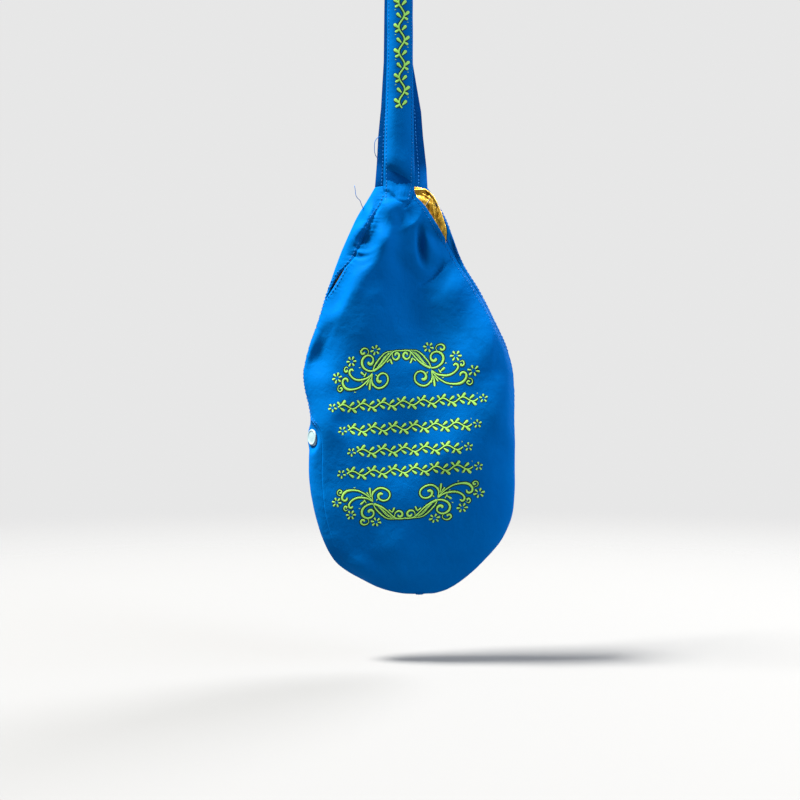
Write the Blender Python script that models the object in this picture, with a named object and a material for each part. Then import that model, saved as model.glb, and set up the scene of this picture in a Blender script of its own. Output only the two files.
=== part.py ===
"""A lined cloth bag for prayer beads, hung by the neck strap that is sewn to its top.

Metres, +Z up. The origin is the seat of the hook or neck, under the top of the strap loop.
The bag's front faces -Y, and its finger hole is on the left as seen from the front (-X).
"""

import math

import bpy
import numpy as np
from mathutils import Vector

# Sizes of the bag
BAG_HEIGHT = 0.345  # top edge to bottom seam
BAG_WIDTH = 0.180  # widest level, seam to seam
BAG_DEPTH = 0.046  # front to back at the fullest level
SECTION_POWER = 2.4  # 2 gives an ellipse, more gives a boxier section
CLOTH = 0.0010  # outer cloth with its interlining
LINING = 0.0006
LINING_SPACE = 0.0006  # between the outer cloth and the lining
LINING_HEM = 0.0018  # the lining stops this far short of an open edge
MOST_HEM_SHARE = 0.8  # of the first mesh cell
BOTTOM_RISE = 0.80  # below this share of the height the inner faces also rise off the bottom seam
SEAM_SPACE = 0.0003  # between the two panels at a seam

# Sizes of the strap
STRAP_DROP = 0.400  # hook seat to the bag's top edge
STRAP_THICKNESS = 0.0020
STRAP_SPACE = 0.0004  # between the strap's sewn end and the panel
STRAP_END_WIDTH_FRONT = 0.0265  # pleated where it is sewn
STRAP_END_WIDTH_BACK = 0.0410  # sewn on nearly flat
STRAP_LEG_WIDTH = 0.0220  # curled lengthwise, higher up
STRAP_NARROWS = 0.140  # height over which each leg comes in to its width
STRAP_SETTLES = 0.030  # height over which the pleated front end takes up the curl
STRAP_CURL = 0.0070  # how far the edges curl in behind the crown
STRAP_CURL_AT_HOOK = 0.0020
STRAP_OPENS = 0.056  # the curl opens out over this length under the hook
STRAP_LAP = 0.0125  # sewn length over each panel
STRAP_WRAP = 0.90  # a sewn end follows its panel out to this share of the half width, then runs on flat
STRAP_BEND_RADIUS = 0.0140  # inner radius over the hook

# The mouth for the hand, down the right side, and the hole for the first finger, on the left
MOUTH_LENGTH = 0.130
FINGER_HOLE_DROP = 0.083  # top edge to the middle of the hole
FINGER_HOLE_LENGTH = 0.027
FINGER_HOLE_WIDTH = 0.0092

# The press stud on the left side
STUD_DROP = 0.2117  # top edge to the stud's middle
STUD_TURN = math.radians(34)  # how far the stud faces round from the side to the front
STUD_SINK = 0.0015  # the cloth under the stud is pressed this far in
CAP_RADIUS = 0.00675
CAP_THICKNESS = 0.0019
CAP_RIM = 0.40  # height of a cap's rim as a share of its thickness
CAP_EDGE_IN = 0.94  # the rim draws in to this share of the radius at the cloth
BACK_CAP_RADIUS = 0.0060
BACK_CAP_THICKNESS = 0.0014
SOCKET_RADIUS = 0.0046
SOCKET_PLATE = 0.0008
KNOB_RADIUS = 0.0025
KNOB_HEIGHT = 0.0019
KNOB_TIP_SHARE = 0.8  # the tip's radius as a share of the knob's
KNOB_PLATE = 0.0009
PIN_RADIUS = 0.0010
STUD_SPACE = 0.0003
STUD_FLAT_EDGE = 0.0015  # the flat under the stud reaches this far past the cap
STUD_FADE = 0.0070  # and fades into the bag's curve over this length
STUD_NEAR = 0.004  # cloth up to this far under the flat is drawn all the way to it
STUD_REACH = 0.012  # cloth farther than this isn't drawn in
TURNED_SIDES = 24

# Mesh fineness
PANEL_COLUMNS = 20
PANEL_ROWS = 18
BOTTOM_ROWS = 6
BEND_LENGTH = 0.026  # a bend of one radian gets as many columns as this length
STRAP_COLUMNS = 10
STRAP_ROW = 0.022
STRAP_LAP_ROWS = 3
STRAP_BEND_ROWS = 10
ROUND_BOTTOM = 0.90  # the share of the height where the rows close up for the rounded bottom
CLOSEST_ROWS = 0.002  # as a share of the height
HOLE_ROWS = 3  # from the middle of the finger hole to its end
SECTION_STEPS = 900

# The outline seen from the front: share of the height below the top edge, then the left and
# right edges as shares of the width, measured from the strap's middle
OUTLINE = (
    (0.00, -0.121, 0.134),
    (0.08, -0.211, 0.219),
    (0.18, -0.294, 0.291),
    (0.25, -0.342, 0.370),
    (0.32, -0.383, 0.442),
    (0.40, -0.434, 0.508),
    (0.46, -0.457, 0.533),
    (0.57, -0.424, 0.542),
    (0.69, -0.432, 0.543),
    (0.78, -0.411, 0.538),
    (0.86, -0.368, 0.487),
    (0.92, -0.304, 0.393),
    (0.97, -0.161, 0.283),
    (0.99, -0.071, 0.219),
    (1.00, 0.050, 0.130),
)
# Share of the height, then how far the front and the back bulge as shares of half the depth
FULLNESS = (
    (0.00, 0.56, 0.34),
    (0.10, 0.70, 0.55),
    (0.30, 0.90, 0.85),
    (0.55, 1.00, 1.00),
    (0.75, 1.00, 1.00),
    (0.88, 0.74, 0.74),
    (0.95, 0.42, 0.42),
    (1.00, 0.15, 0.15),
)
# The left seam as seen from the front: how far down, then the distance in from the left outline.
# The back panel comes round to the front above the finger hole, and again at the stud and below it.
SEAM_FROM_TOP = (
    (0.0000, 0.0150),
    (0.0345, 0.0155),
    (0.0587, 0.0140),
    (0.0725, 0.0072),
    (0.0828, 0.0040),
    (0.0966, 0.0004),
)
SEAM_FROM_STUD = (  # metres below the stud's middle
    (-0.0392, 0.0000),
    (-0.0185, 0.0010),
    (-0.0047, 0.0100),
    (0.0160, 0.0125),
)
SEAM_LOWER = (  # share of the way from the stud's middle to the bottom
    (0.48, 0.0100),
    (0.74, 0.0080),
    (1.00, 0.0000),
)
# The two edges at the right: share of the mouth's length, the front panel's edge and the back
# panel's edge as distances in from the right outline
MOUTH_EDGES = (
    (0.00, 0.0122, 0.0000),
    (0.06, 0.0150, 0.0003),
    (0.13, 0.0124, 0.0008),
    (0.20, 0.0112, 0.0016),
    (0.27, 0.0094, 0.0025),
    (0.355, 0.0064, 0.0062),
    (0.47, 0.0036, 0.0036),
    (0.70, 0.0024, 0.0024),
    (1.00, 0.0014, 0.0014),
    (1.30, 0.0000, 0.0000),
)


def smooth_curve(places, values):
    """A function that runs smoothly through the points and never swings past them."""
    places = np.array(places, float)
    values = np.array(values, float)
    steps = np.diff(places)
    slopes = np.diff(values) / steps
    tangents = np.zeros_like(values)
    for k in range(1, len(values) - 1):
        before, after = slopes[k - 1], slopes[k]
        if before * after > 0:
            far, near = 2 * steps[k] + steps[k - 1], steps[k] + 2 * steps[k - 1]
            tangents[k] = (far + near) / (far / before + near / after)
    tangents[0], tangents[-1] = slopes[0], slopes[-1]

    def curve(at):
        at = min(max(at, places[0]), places[-1])
        k = min(int(np.searchsorted(places, at, side="right")) - 1, len(steps) - 1)
        u = (at - places[k]) / steps[k]
        start = values[k] * (1 + 2 * u) * (1 - u) ** 2 + steps[k] * tangents[k] * u * (1 - u) ** 2
        end = values[k + 1] * (3 - 2 * u) * u**2 - steps[k] * tangents[k + 1] * u**2 * (1 - u)
        return start + end

    return curve


def down(share):
    """Spreads the rounded bottom out, so that the outline's curves stay smooth there."""
    return 1 - math.sqrt(max(1 - share, 0))


def smooth_step(low, high, at):
    u = min(max((at - low) / (high - low), 0), 1)
    return u * u * (3 - 2 * u)


SHARES = [down(row[0]) for row in OUTLINE]
LEFT_EDGE = smooth_curve(SHARES, [row[1] * BAG_WIDTH for row in OUTLINE])
RIGHT_EDGE = smooth_curve(SHARES, [row[2] * BAG_WIDTH for row in OUTLINE])
FRONT_BULGE = smooth_curve([row[0] for row in FULLNESS], [row[1] * BAG_DEPTH / 2 for row in FULLNESS])
BACK_BULGE = smooth_curve([row[0] for row in FULLNESS], [row[2] * BAG_DEPTH / 2 for row in FULLNESS])
SEAM_DROPS = [row[0] for row in SEAM_FROM_TOP]
SEAM_DROPS += [STUD_DROP + row[0] for row in SEAM_FROM_STUD]
SEAM_DROPS += [STUD_DROP + row[0] * (BAG_HEIGHT - STUD_DROP) for row in SEAM_LOWER]
SEAM_INSETS = [row[1] for row in SEAM_FROM_TOP + SEAM_FROM_STUD + SEAM_LOWER]
SEAM_IN = smooth_curve(SEAM_DROPS, SEAM_INSETS)
MOUTH_PLACES = [row[0] * MOUTH_LENGTH / BAG_HEIGHT for row in MOUTH_EDGES]
FRONT_EDGE_IN = smooth_curve(MOUTH_PLACES, [row[1] for row in MOUTH_EDGES])
BACK_EDGE_IN = smooth_curve(MOUTH_PLACES, [row[2] for row in MOUTH_EDGES])


def section_sizes(share):
    """Middle, half width, and the front and back half depths of the level section at a share."""
    left = LEFT_EDGE(down(share))
    right = RIGHT_EDGE(down(share))
    return (left + right) / 2, (right - left) / 2, FRONT_BULGE(share), BACK_BULGE(share)


def around(angle, share, inset):
    """A point of the section, set in from the outer face.

    Angle 0 is the left outline, half a turn is the right one, and the front lies between.
    Below 0 the angle runs round the back.
    """
    middle, half, front, back = section_sizes(share)
    depth = front if math.sin(angle) > 0 else back
    power = 2 / SECTION_POWER
    across = math.copysign(abs(math.cos(angle)) ** power, math.cos(angle))
    out = math.copysign(abs(math.sin(angle)) ** power, math.sin(angle))
    rise = inset * smooth_step(BOTTOM_RISE, 1.0, share)
    return Vector(
        (
            middle - (half - inset) * across,
            -(depth - inset) * out,
            rise - STRAP_DROP - share * BAG_HEIGHT,
        )
    )


def angle_in(distance, share):
    """The angle, from the left outline, of the front point that lies this far in from it."""
    half = section_sizes(share)[1]
    return math.acos(max(1 - distance / half, 0) ** (SECTION_POWER / 2))


def stud_frame():
    """The middle of the flat under the stud, and the direction that the stud faces."""
    share = STUD_DROP / BAG_HEIGHT
    outward = Vector((-math.cos(STUD_TURN), -math.sin(STUD_TURN), 0))
    ring = [around(math.radians(step / 4), share, 0) for step in range(4 * 90)]
    return max(ring, key=outward.dot) - outward * STUD_SINK, outward


STUD_SEAT, STUD_OUTWARD = stud_frame()
STUD_FLAT_RADIUS = CAP_RADIUS + STUD_FLAT_EDGE
STUD_FADE_RADIUS = STUD_FLAT_RADIUS + STUD_FADE
LINING_INSET = CLOTH + LINING_SPACE
PIN_END = CLOTH + SOCKET_PLATE + 2 * STUD_SPACE
KNOB_TOP = PIN_END + STUD_SPACE
KNOB_SEAT = KNOB_TOP + KNOB_HEIGHT
LINING_SEAT = KNOB_SEAT + KNOB_PLATE + STUD_SPACE
BACK_CAP_SEAT = LINING_SEAT + LINING + STUD_SPACE


def pressed_flat(point, depth):
    """Draws cloth near the stud onto a flat, at this depth under the stud's seat."""
    off = point - STUD_SEAT
    along = off.dot(STUD_OUTWARD)
    away = (off - STUD_OUTWARD * along).length
    pull = 1 - smooth_step(STUD_FLAT_RADIUS, STUD_FADE_RADIUS, away)
    pull *= 1 - smooth_step(STUD_NEAR, STUD_REACH, abs(along))
    return point - STUD_OUTWARD * (along + depth) * pull


def level_shares():
    """The levels of the grid that the panels and linings share, from the top edge down."""
    hole = FINGER_HOLE_DROP / BAG_HEIGHT
    reach = FINGER_HOLE_LENGTH / 2 / BAG_HEIGHT
    stud = STUD_DROP / BAG_HEIGHT
    shares = set(np.linspace(0, ROUND_BOTTOM, PANEL_ROWS).tolist())
    shares |= {1 - (1 - ROUND_BOTTOM) * (1 - k / BOTTOM_ROWS) ** 2 for k in range(BOTTOM_ROWS + 1)}
    shares |= {hole + reach * k / HOLE_ROWS for k in range(-HOLE_ROWS, HOLE_ROWS + 1)}
    shares |= {stud + STUD_FLAT_RADIUS / BAG_HEIGHT * k for k in (-1, -0.5, 0, 0.5, 1)}
    shares |= {STRAP_LAP / BAG_HEIGHT}
    kept = []
    for share in sorted(shares):
        if not kept or share - kept[-1] > CLOSEST_ROWS:
            kept.append(share)
    kept[-1] = 1.0
    return kept


def finger_gap(share):
    """How far the finger hole stands open at this level."""
    off = (share * BAG_HEIGHT - FINGER_HOLE_DROP) / (FINGER_HOLE_LENGTH / 2)
    return FINGER_HOLE_WIDTH * math.sqrt(max(1 - off * off, 0))


def panel_angles(share, front):
    """The angles of one panel's columns at this level, closer together where the section bends."""
    fine = np.linspace(-1.5 * math.pi, math.pi, SECTION_STEPS)
    points = np.array([around(angle, share, 0)[:2] for angle in fine])
    steps = np.diff(points, axis=0)
    headings = np.unwrap(np.arctan2(steps[:, 1], steps[:, 0]))
    run = np.concatenate([[0], np.cumsum(np.linalg.norm(steps, axis=1))])
    bends = np.concatenate([[0, 0], np.cumsum(np.abs(np.diff(headings)))])
    weight = run + BEND_LENGTH * bends
    seam = np.interp(angle_in(SEAM_IN(share * BAG_HEIGHT), share), fine, run)
    spread = SEAM_SPACE / 2 + finger_gap(share) / 2
    if front:
        start = seam + spread
        end = np.interp(math.pi - angle_in(FRONT_EDGE_IN(share), share), fine, run) - SEAM_SPACE / 2
    else:
        start = seam - spread
        end = np.interp(-math.pi - angle_in(BACK_EDGE_IN(share), share), fine, run) + SEAM_SPACE / 2
    ends = np.interp([start, end], run, weight)
    return np.interp(np.linspace(*ends, PANEL_COLUMNS + 1), weight, fine)


def layer_points(front, inset, stud_depth):
    """One face of a panel or lining, as a grid of points, with the bottom seam as its last row."""
    shift = Vector((0, -SEAM_SPACE / 2 if front else SEAM_SPACE / 2, 0))
    grid = []
    for share in level_shares():
        angles = panel_angles(share, front)
        row = [pressed_flat(around(angle, share, inset), stud_depth) + shift for angle in angles]
        grid.append(row)
    grid.append([Vector((point.x, shift.y, point.z)) for point in grid[-1]])
    return grid


def drawn_in(grid):
    """Brings a lining's edges in by its hem at the top, the finger hole and the mouth."""

    def toward(point, inner, hem):
        return point.lerp(inner, min(hem / (inner - point).length, MOST_HEM_SHARE))

    rows = []
    for share, row in zip(level_shares() + [1.0], grid):
        left = LINING_HEM if finger_gap(share) else 0
        right = LINING_HEM if share * BAG_HEIGHT < MOUTH_LENGTH else 0
        rows.append([toward(row[0], row[1], left)] + row[1:-1] + [toward(row[-1], row[-2], right)])
    rows[0] = [toward(point, below, LINING_HEM) for point, below in zip(rows[0], rows[1])]
    return rows


def material(name, colour, roughness):
    made = bpy.data.materials.new(name)
    made.use_nodes = True
    shader = made.node_tree.nodes["Principled BSDF"]
    shader.inputs["Base Color"].default_value = (*colour, 1)
    shader.inputs["Roughness"].default_value = roughness
    return made


def add_object(name, points, faces, finish):
    mesh = bpy.data.meshes.new(name)
    mesh.from_pydata([tuple(point) for point in points], [], faces)
    mesh.validate()
    mesh.shade_smooth()
    mesh.set_sharp_from_angle(angle=math.radians(40))
    if finish:
        mesh.materials.append(finish)
    made = bpy.data.objects.new(name, mesh)
    bpy.context.scene.collection.objects.link(made)
    return made


def shell(name, outer, inner, finish, outward_first):
    """Closes two matching grids of points into one solid."""
    rows, columns = len(outer), len(outer[0])
    size = rows * columns
    points = [point for grid in (outer, inner) for row in grid for point in row]

    def at(row, column, face):
        return face * size + row * columns + column

    faces = []
    for row in range(rows - 1):
        for column in range(columns - 1):
            near, below = (row, column), (row + 1, column)
            beside, across = (row, column + 1), (row + 1, column + 1)
            for cell in ((near, below, across), (near, across, beside)):
                faces.append([at(*corner, 0) for corner in cell])
                faces.append([at(*corner, 1) for corner in reversed(cell)])
    rim = [(0, column) for column in range(columns)]
    rim += [(row, columns - 1) for row in range(1, rows)]
    rim += [(rows - 1, column) for column in range(columns - 2, -1, -1)]
    rim += [(row, 0) for row in range(rows - 2, 0, -1)]
    for here, there in zip(rim, rim[1:] + rim[:1]):
        faces.append([at(*here, 0), at(*there, 0), at(*there, 1), at(*here, 1)])
    if not outward_first:
        faces = [face[::-1] for face in faces]
    return add_object(name, points, faces, finish)


def add_panels():
    """The four cut pieces of the bag: two of outer cloth and two of lining."""
    blue = material("blue_cloth", (0.0, 0.12, 0.55), 0.6)
    gold = material("gold_lining", (0.62, 0.36, 0.06), 0.4)
    for side, front in (("front", True), ("back", False)):
        outer = layer_points(front, 0, 0)
        inner = layer_points(front, CLOTH, CLOTH)
        shell(side + "_panel", outer, inner, blue, front)
        outer = drawn_in(layer_points(front, LINING_INSET, LINING_SEAT))
        inner = drawn_in(layer_points(front, LINING_INSET + LINING, LINING_SEAT + LINING))
        shell(side + "_lining", outer, inner, gold, front)


def strap_stations():
    """Stations up the front leg, over the hook and down the back leg.

    Each is (-1, height) on the front leg, (0, angle) round the hook or (1, height) on the back leg.
    """
    free = STRAP_DROP - STRAP_BEND_RADIUS
    rows = max(2, round(free / STRAP_ROW))
    heights = [-STRAP_DROP - STRAP_LAP * (1 - k / STRAP_LAP_ROWS) for k in range(STRAP_LAP_ROWS)]
    heights += [-STRAP_DROP + free * k / rows for k in range(rows)]
    bend = [(0, math.pi * k / STRAP_BEND_ROWS) for k in range(STRAP_BEND_ROWS + 1)]
    return [(-1, height) for height in heights] + bend + [(1, height) for height in reversed(heights)]


def panel_depth(x, height, front):
    """How far the outer face of a panel stands out along Y behind the strap's sewn end."""
    share = max(-(height + STRAP_DROP) / BAG_HEIGHT, 0)
    middle, half, front_bulge, back_bulge = section_sizes(share)
    bulge = front_bulge if front else back_bulge
    reach = min(abs(x - middle) / half, STRAP_WRAP) ** SECTION_POWER
    return (bulge + SEAM_SPACE / 2) * (1 - reach) ** (1 / SECTION_POWER)


def bend_row(angle, across):
    """The strap's inner face in one line across it, round the hook."""
    outward = Vector((0, -math.cos(angle), math.sin(angle)))
    middle = Vector((0, 0, -STRAP_BEND_RADIUS)) + outward * STRAP_BEND_RADIUS
    curl = STRAP_CURL_AT_HOOK
    return [middle + Vector((u * STRAP_LEG_WIDTH / 2, 0, 0)) - outward * (curl * u * u) for u in across]


def leg_row(leg, height, across):
    """The same on a leg: it leaves its panel's own shape and takes up the curl as it rises."""
    front = leg < 0
    free = STRAP_DROP - STRAP_BEND_RADIUS
    climb = max(height + STRAP_DROP, 0)
    narrowed = smooth_step(0, STRAP_NARROWS, climb)
    loose = smooth_step(0, STRAP_SETTLES, climb) if front else narrowed
    end_width = STRAP_END_WIDTH_FRONT if front else STRAP_END_WIDTH_BACK
    width = end_width + (STRAP_LEG_WIDTH - end_width) * narrowed
    end_depth = (FRONT_BULGE(0) if front else BACK_BULGE(0)) + STRAP_SPACE
    depth = end_depth + (STRAP_BEND_RADIUS - end_depth) * climb / free
    opened = smooth_step(free - STRAP_OPENS, free, climb)
    curl = STRAP_CURL + (STRAP_CURL_AT_HOOK - STRAP_CURL) * opened
    top_middle = (LEFT_EDGE(0) + RIGHT_EDGE(0)) / 2
    row = []
    for u in across:
        x = u * width / 2 + top_middle * (1 - narrowed)
        sewn = panel_depth(x, height, front) + STRAP_SPACE
        out = sewn + (depth - curl * u * u - sewn) * loose
        row.append(Vector((x, leg * out, height)))
    return row


def add_strap():
    """One folded band: its front end is pleated onto the front panel, its back end lies flatter."""
    across = np.linspace(-1, 1, STRAP_COLUMNS + 1)
    rows = [
        bend_row(where, across) if leg == 0 else leg_row(leg, where, across)
        for leg, where in strap_stations()
    ]
    points = [point for row in rows for point in row]
    wide = len(across)
    faces = []
    for k in range(len(rows) - 1):
        for j in range(STRAP_COLUMNS):
            here = k * wide + j
            faces.append([here, here + 1, here + wide + 1, here + wide])
    strap = add_object("neck_strap", points, faces, material("blue_strap", (0.0, 0.13, 0.57), 0.6))
    folded = strap.modifiers.new("folded_cloth", "SOLIDIFY")
    folded.thickness = STRAP_THICKNESS
    folded.offset = 1


def turned(name, profile, finish=None):
    """A round piece from its profile of (radius, depth) points, set on the stud's axis."""
    points, rings = [], []
    for radius, depth in profile:
        if radius == 0:
            rings.append([len(points)] * TURNED_SIDES)
            points.append(Vector((0, 0, -depth)))
            continue
        rings.append(list(range(len(points), len(points) + TURNED_SIDES)))
        for k in range(TURNED_SIDES):
            angle = 2 * math.pi * k / TURNED_SIDES
            points.append(Vector((radius * math.cos(angle), radius * math.sin(angle), -depth)))
    pairs = list(zip(rings, rings[1:]))
    if profile[0][0] != 0:
        pairs.append((rings[-1], rings[0]))
    faces = []
    for upper, lower in pairs:
        for k in range(TURNED_SIDES):
            after = (k + 1) % TURNED_SIDES
            corners = [upper[k], lower[k], lower[after], upper[after]]
            faces.append(list(dict.fromkeys(corners)))
    made = add_object(name, points, faces, finish)
    made.location = STUD_SEAT
    made.rotation_euler = STUD_OUTWARD.to_track_quat("Z", "Y").to_euler()
    return made


def cap_profile(radius, thickness, seat, side, pin_end):
    """A domed disc with a pin. The disc rises from seat towards side, and the pin goes the other way."""
    dome = [(0, seat + side * thickness)]
    dome += [
        (radius * math.sin(a), seat + side * thickness * (CAP_RIM + (1 - CAP_RIM) * math.cos(a)))
        for a in (math.radians(25), math.radians(50), math.radians(75))
    ]
    rim = [(radius, seat + side * thickness * CAP_RIM), (radius * CAP_EDGE_IN, seat)]
    pin = [(PIN_RADIUS, seat), (PIN_RADIUS, pin_end), (0, pin_end)]
    return dome + rim + pin


def add_press_stud():
    """Outside in: cap, panel, socket round the knob, lining, back cap."""
    pearl = material("white_plastic", (0.78, 0.86, 0.88), 0.3)
    hole = PIN_RADIUS + STUD_SPACE
    socket_top = CLOTH + STUD_SPACE
    plate_under = socket_top + SOCKET_PLATE
    cavity = KNOB_RADIUS + STUD_SPACE
    cap = cap_profile(CAP_RADIUS, CAP_THICKNESS, -STUD_SPACE, -1, PIN_END)
    turned("press_stud_cap", cap, pearl)
    socket_rim = KNOB_SEAT - STUD_SPACE
    socket = [(hole, socket_top), (SOCKET_RADIUS, socket_top), (SOCKET_RADIUS, socket_rim)]
    socket += [(cavity, socket_rim), (cavity, plate_under), (hole, plate_under)]
    turned("press_stud_socket", socket, pearl)
    bore_end = KNOB_TOP + 2 * STUD_SPACE
    knob_base = KNOB_SEAT + KNOB_PLATE
    knob = [(0, KNOB_TOP), (KNOB_RADIUS * KNOB_TIP_SHARE, KNOB_TOP), (KNOB_RADIUS, KNOB_TOP + STUD_SPACE)]
    knob += [(KNOB_RADIUS, KNOB_SEAT), (SOCKET_RADIUS, KNOB_SEAT), (SOCKET_RADIUS, knob_base)]
    knob += [(hole, knob_base), (hole, bore_end), (0, bore_end)]
    turned("press_stud_knob", knob, pearl)
    pin_end = bore_end + STUD_SPACE
    back_cap = cap_profile(BACK_CAP_RADIUS, BACK_CAP_THICKNESS, BACK_CAP_SEAT, 1, pin_end)
    turned("press_stud_back_cap", back_cap[::-1], pearl)


def cut_stud_holes():
    """The pins pass through one hole in the back panel and one in its lining."""
    hole = PIN_RADIUS + STUD_SPACE
    deep = BACK_CAP_SEAT
    cutter = turned("stud_hole_cutter", [(0, -hole), (hole, -hole), (hole, deep), (0, deep)])
    cutter.hide_render = True
    cutter.display_type = "WIRE"
    for name in ("back_panel", "back_lining"):
        cut = bpy.data.objects[name].modifiers.new("stud_hole", "BOOLEAN")
        cut.object = cutter


def main():
    for old in list(bpy.data.objects):
        bpy.data.objects.remove(old, do_unlink=True)
    add_panels()
    add_strap()
    add_press_stud()
    cut_stud_holes()


main()
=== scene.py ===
# %% [markdown]
# # A cloth bag for prayer beads
# The bag hangs by its neck strap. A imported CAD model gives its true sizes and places, and this lesson
# dresses that model: folded cotton, a golden lining in the open mouth, a printed ornament, a press stud,
# sewing threads, light and a camera. We load the model first, because every piece follows it.

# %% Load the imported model
import math

import bpy
import numpy as np
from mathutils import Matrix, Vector


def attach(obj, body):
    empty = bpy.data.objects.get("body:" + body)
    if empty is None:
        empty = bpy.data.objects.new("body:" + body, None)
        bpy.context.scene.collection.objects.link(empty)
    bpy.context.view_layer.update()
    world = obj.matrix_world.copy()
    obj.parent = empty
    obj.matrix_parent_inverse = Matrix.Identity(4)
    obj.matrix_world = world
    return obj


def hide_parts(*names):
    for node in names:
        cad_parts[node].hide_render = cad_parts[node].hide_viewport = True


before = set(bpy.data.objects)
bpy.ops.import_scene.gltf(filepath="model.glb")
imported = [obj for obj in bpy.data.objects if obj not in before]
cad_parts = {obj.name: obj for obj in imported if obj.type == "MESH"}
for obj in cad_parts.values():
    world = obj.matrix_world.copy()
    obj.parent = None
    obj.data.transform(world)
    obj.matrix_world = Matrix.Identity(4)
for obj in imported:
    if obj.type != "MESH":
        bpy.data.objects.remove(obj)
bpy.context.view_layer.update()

print("CAD pieces:", sorted(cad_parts))

# %% [markdown]
# ## From the photograph to metres
# The photograph is a level front view, so one scale turns its pixels into metres: x to the right and z up.
# Folds and printed lines are easiest to describe where we see them, so they are given as pixels below.
# What stands nearer to the camera than the bag's middle shows a little larger, so both functions allow for
# depth too.

# %% Pixels and metres
METRES_PER_PIXEL = 0.00085
MIDDLE_COLUMN = 400.0  # the pixel column of the strap's middle
HOOK_ROW = -282.6  # the pixel row of the strap's highest point, above the picture
PICTURE_MIDDLE = 400.0  # the pixel row and column that the camera looks at
CAMERA_DISTANCE = 1.2
MILLIMETRE = 0.001


def to_pixels(x, z, y=0.0):
    """The column and the row at which a point shows in the picture."""
    closer = CAMERA_DISTANCE / (CAMERA_DISTANCE + y)
    column = MIDDLE_COLUMN + x / METRES_PER_PIXEL * closer
    return column, PICTURE_MIDDLE + (HOOK_ROW - PICTURE_MIDDLE - z / METRES_PER_PIXEL) * closer


def from_pixels(column, row, y=0.0):
    """x and z of the point at this depth that shows at this column and row."""
    farther = (CAMERA_DISTANCE + y) / CAMERA_DISTANCE
    x = (column - MIDDLE_COLUMN) * METRES_PER_PIXEL * farther
    return x, (HOOK_ROW - PICTURE_MIDDLE - (row - PICTURE_MIDDLE) * farther) * METRES_PER_PIXEL


def mm(metres):
    """Metres as millimetres, rounded to be printed."""
    return np.round(np.asarray(metres, float) / MILLIMETRE, 1)


print("bag's top edge in pixels:", [round(v) for v in to_pixels(0, -0.4)])

# %% [markdown]
# ## The shape of the filled bag
# A sewn bag has no flat sides: each level is a soft, flattened ring. We describe the ring by its left and
# right edges and by how far it bulges to the front and to the back, and let smooth curves join the levels.
# These are the CAD model's own numbers, so the cloth that we lay over them fits. Only the finger hole is
# narrower, because real cloth closes round it.

# %% Sizes of the bag
BAG_HEIGHT = 0.345
BAG_WIDTH = 0.180
BAG_DEPTH = 0.046
TOP = -0.400  # z of the bag's upper edge; z is 0 at the strap's highest point
RING_POWER = 2.4  # 2 would make each ring an ellipse, and more makes it squarer
CLOTH = 0.0010  # thickness of the blue cotton
LINING_INSET = 0.0016
SEAM_SPACE = 0.0003
MOUTH_LENGTH = 0.130
HOLE_DROP = 0.083  # drops are measured down from the bag's upper edge
HOLE_LENGTH = 0.027
HOLE_WIDTH = 0.0044
STUD_DROP = 0.2117
STUD_TURN = math.radians(34)
CAP_RADIUS = 0.00675
print("bag in mm:", mm((BAG_WIDTH, BAG_DEPTH, BAG_HEIGHT)))

# %% The bag's outline and fullness
# Share of the height, then the left and the right edge in bag widths from the middle.
OUTLINE = np.array(
    [
        (0, -0.121, 0.134), (0.08, -0.211, 0.219), (0.18, -0.294, 0.291), (0.25, -0.342, 0.37),
        (0.32, -0.383, 0.442), (0.4, -0.434, 0.508), (0.46, -0.457, 0.533), (0.57, -0.424, 0.542),
        (0.69, -0.432, 0.543), (0.78, -0.411, 0.538), (0.86, -0.368, 0.487), (0.92, -0.304, 0.393),
        (0.97, -0.161, 0.283), (0.99, -0.071, 0.219), (1, 0.05, 0.13),
    ]
)
# Share of the height, then the front's and the back's fullness in half depths.
FULLNESS = np.array(
    [
        (0, 0.56, 0.34), (0.1, 0.7, 0.55), (0.3, 0.9, 0.85), (0.55, 1, 1), (0.75, 1, 1),
        (0.88, 0.74, 0.74), (0.95, 0.42, 0.42), (1, 0.15, 0.15),
    ]
)
print("levels of the outline:", len(OUTLINE), "levels of the fullness:", len(FULLNESS))

# %% The seam and the mouth's edges
# Metres down from the top, then how far in from the left edge the side seam lies.
LEFT_SEAM = np.array(
    [
        (0, 0.015), (0.0345, 0.0155), (0.0587, 0.014), (0.0725, 0.0072), (0.0828, 0.004),
        (0.0966, 0.0004), (0.1725, 0), (0.1932, 0.001), (0.207, 0.01), (0.2277, 0.0125), (0.2757, 0.01),
        (0.3103, 0.008), (0.345, 0),
    ]
)
# Share of the mouth's length, then how far in from the right edge the front's and the back's edges lie.
MOUTH_EDGES = np.array(
    [
        (0, 0.0122, 0), (0.06, 0.015, 0.0003), (0.13, 0.0124, 0.0008), (0.2, 0.0112, 0.0016),
        (0.27, 0.0094, 0.0025), (0.355, 0.0064, 0.0062), (0.47, 0.0036, 0.0036), (0.7, 0.0024, 0.0024),
        (1, 0.0014, 0.0014), (1.3, 0, 0),
    ]
)
print("the side seam swings in by mm:", mm(LEFT_SEAM[:, 1].max()))

# %% Smooth curves through the tables


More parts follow.
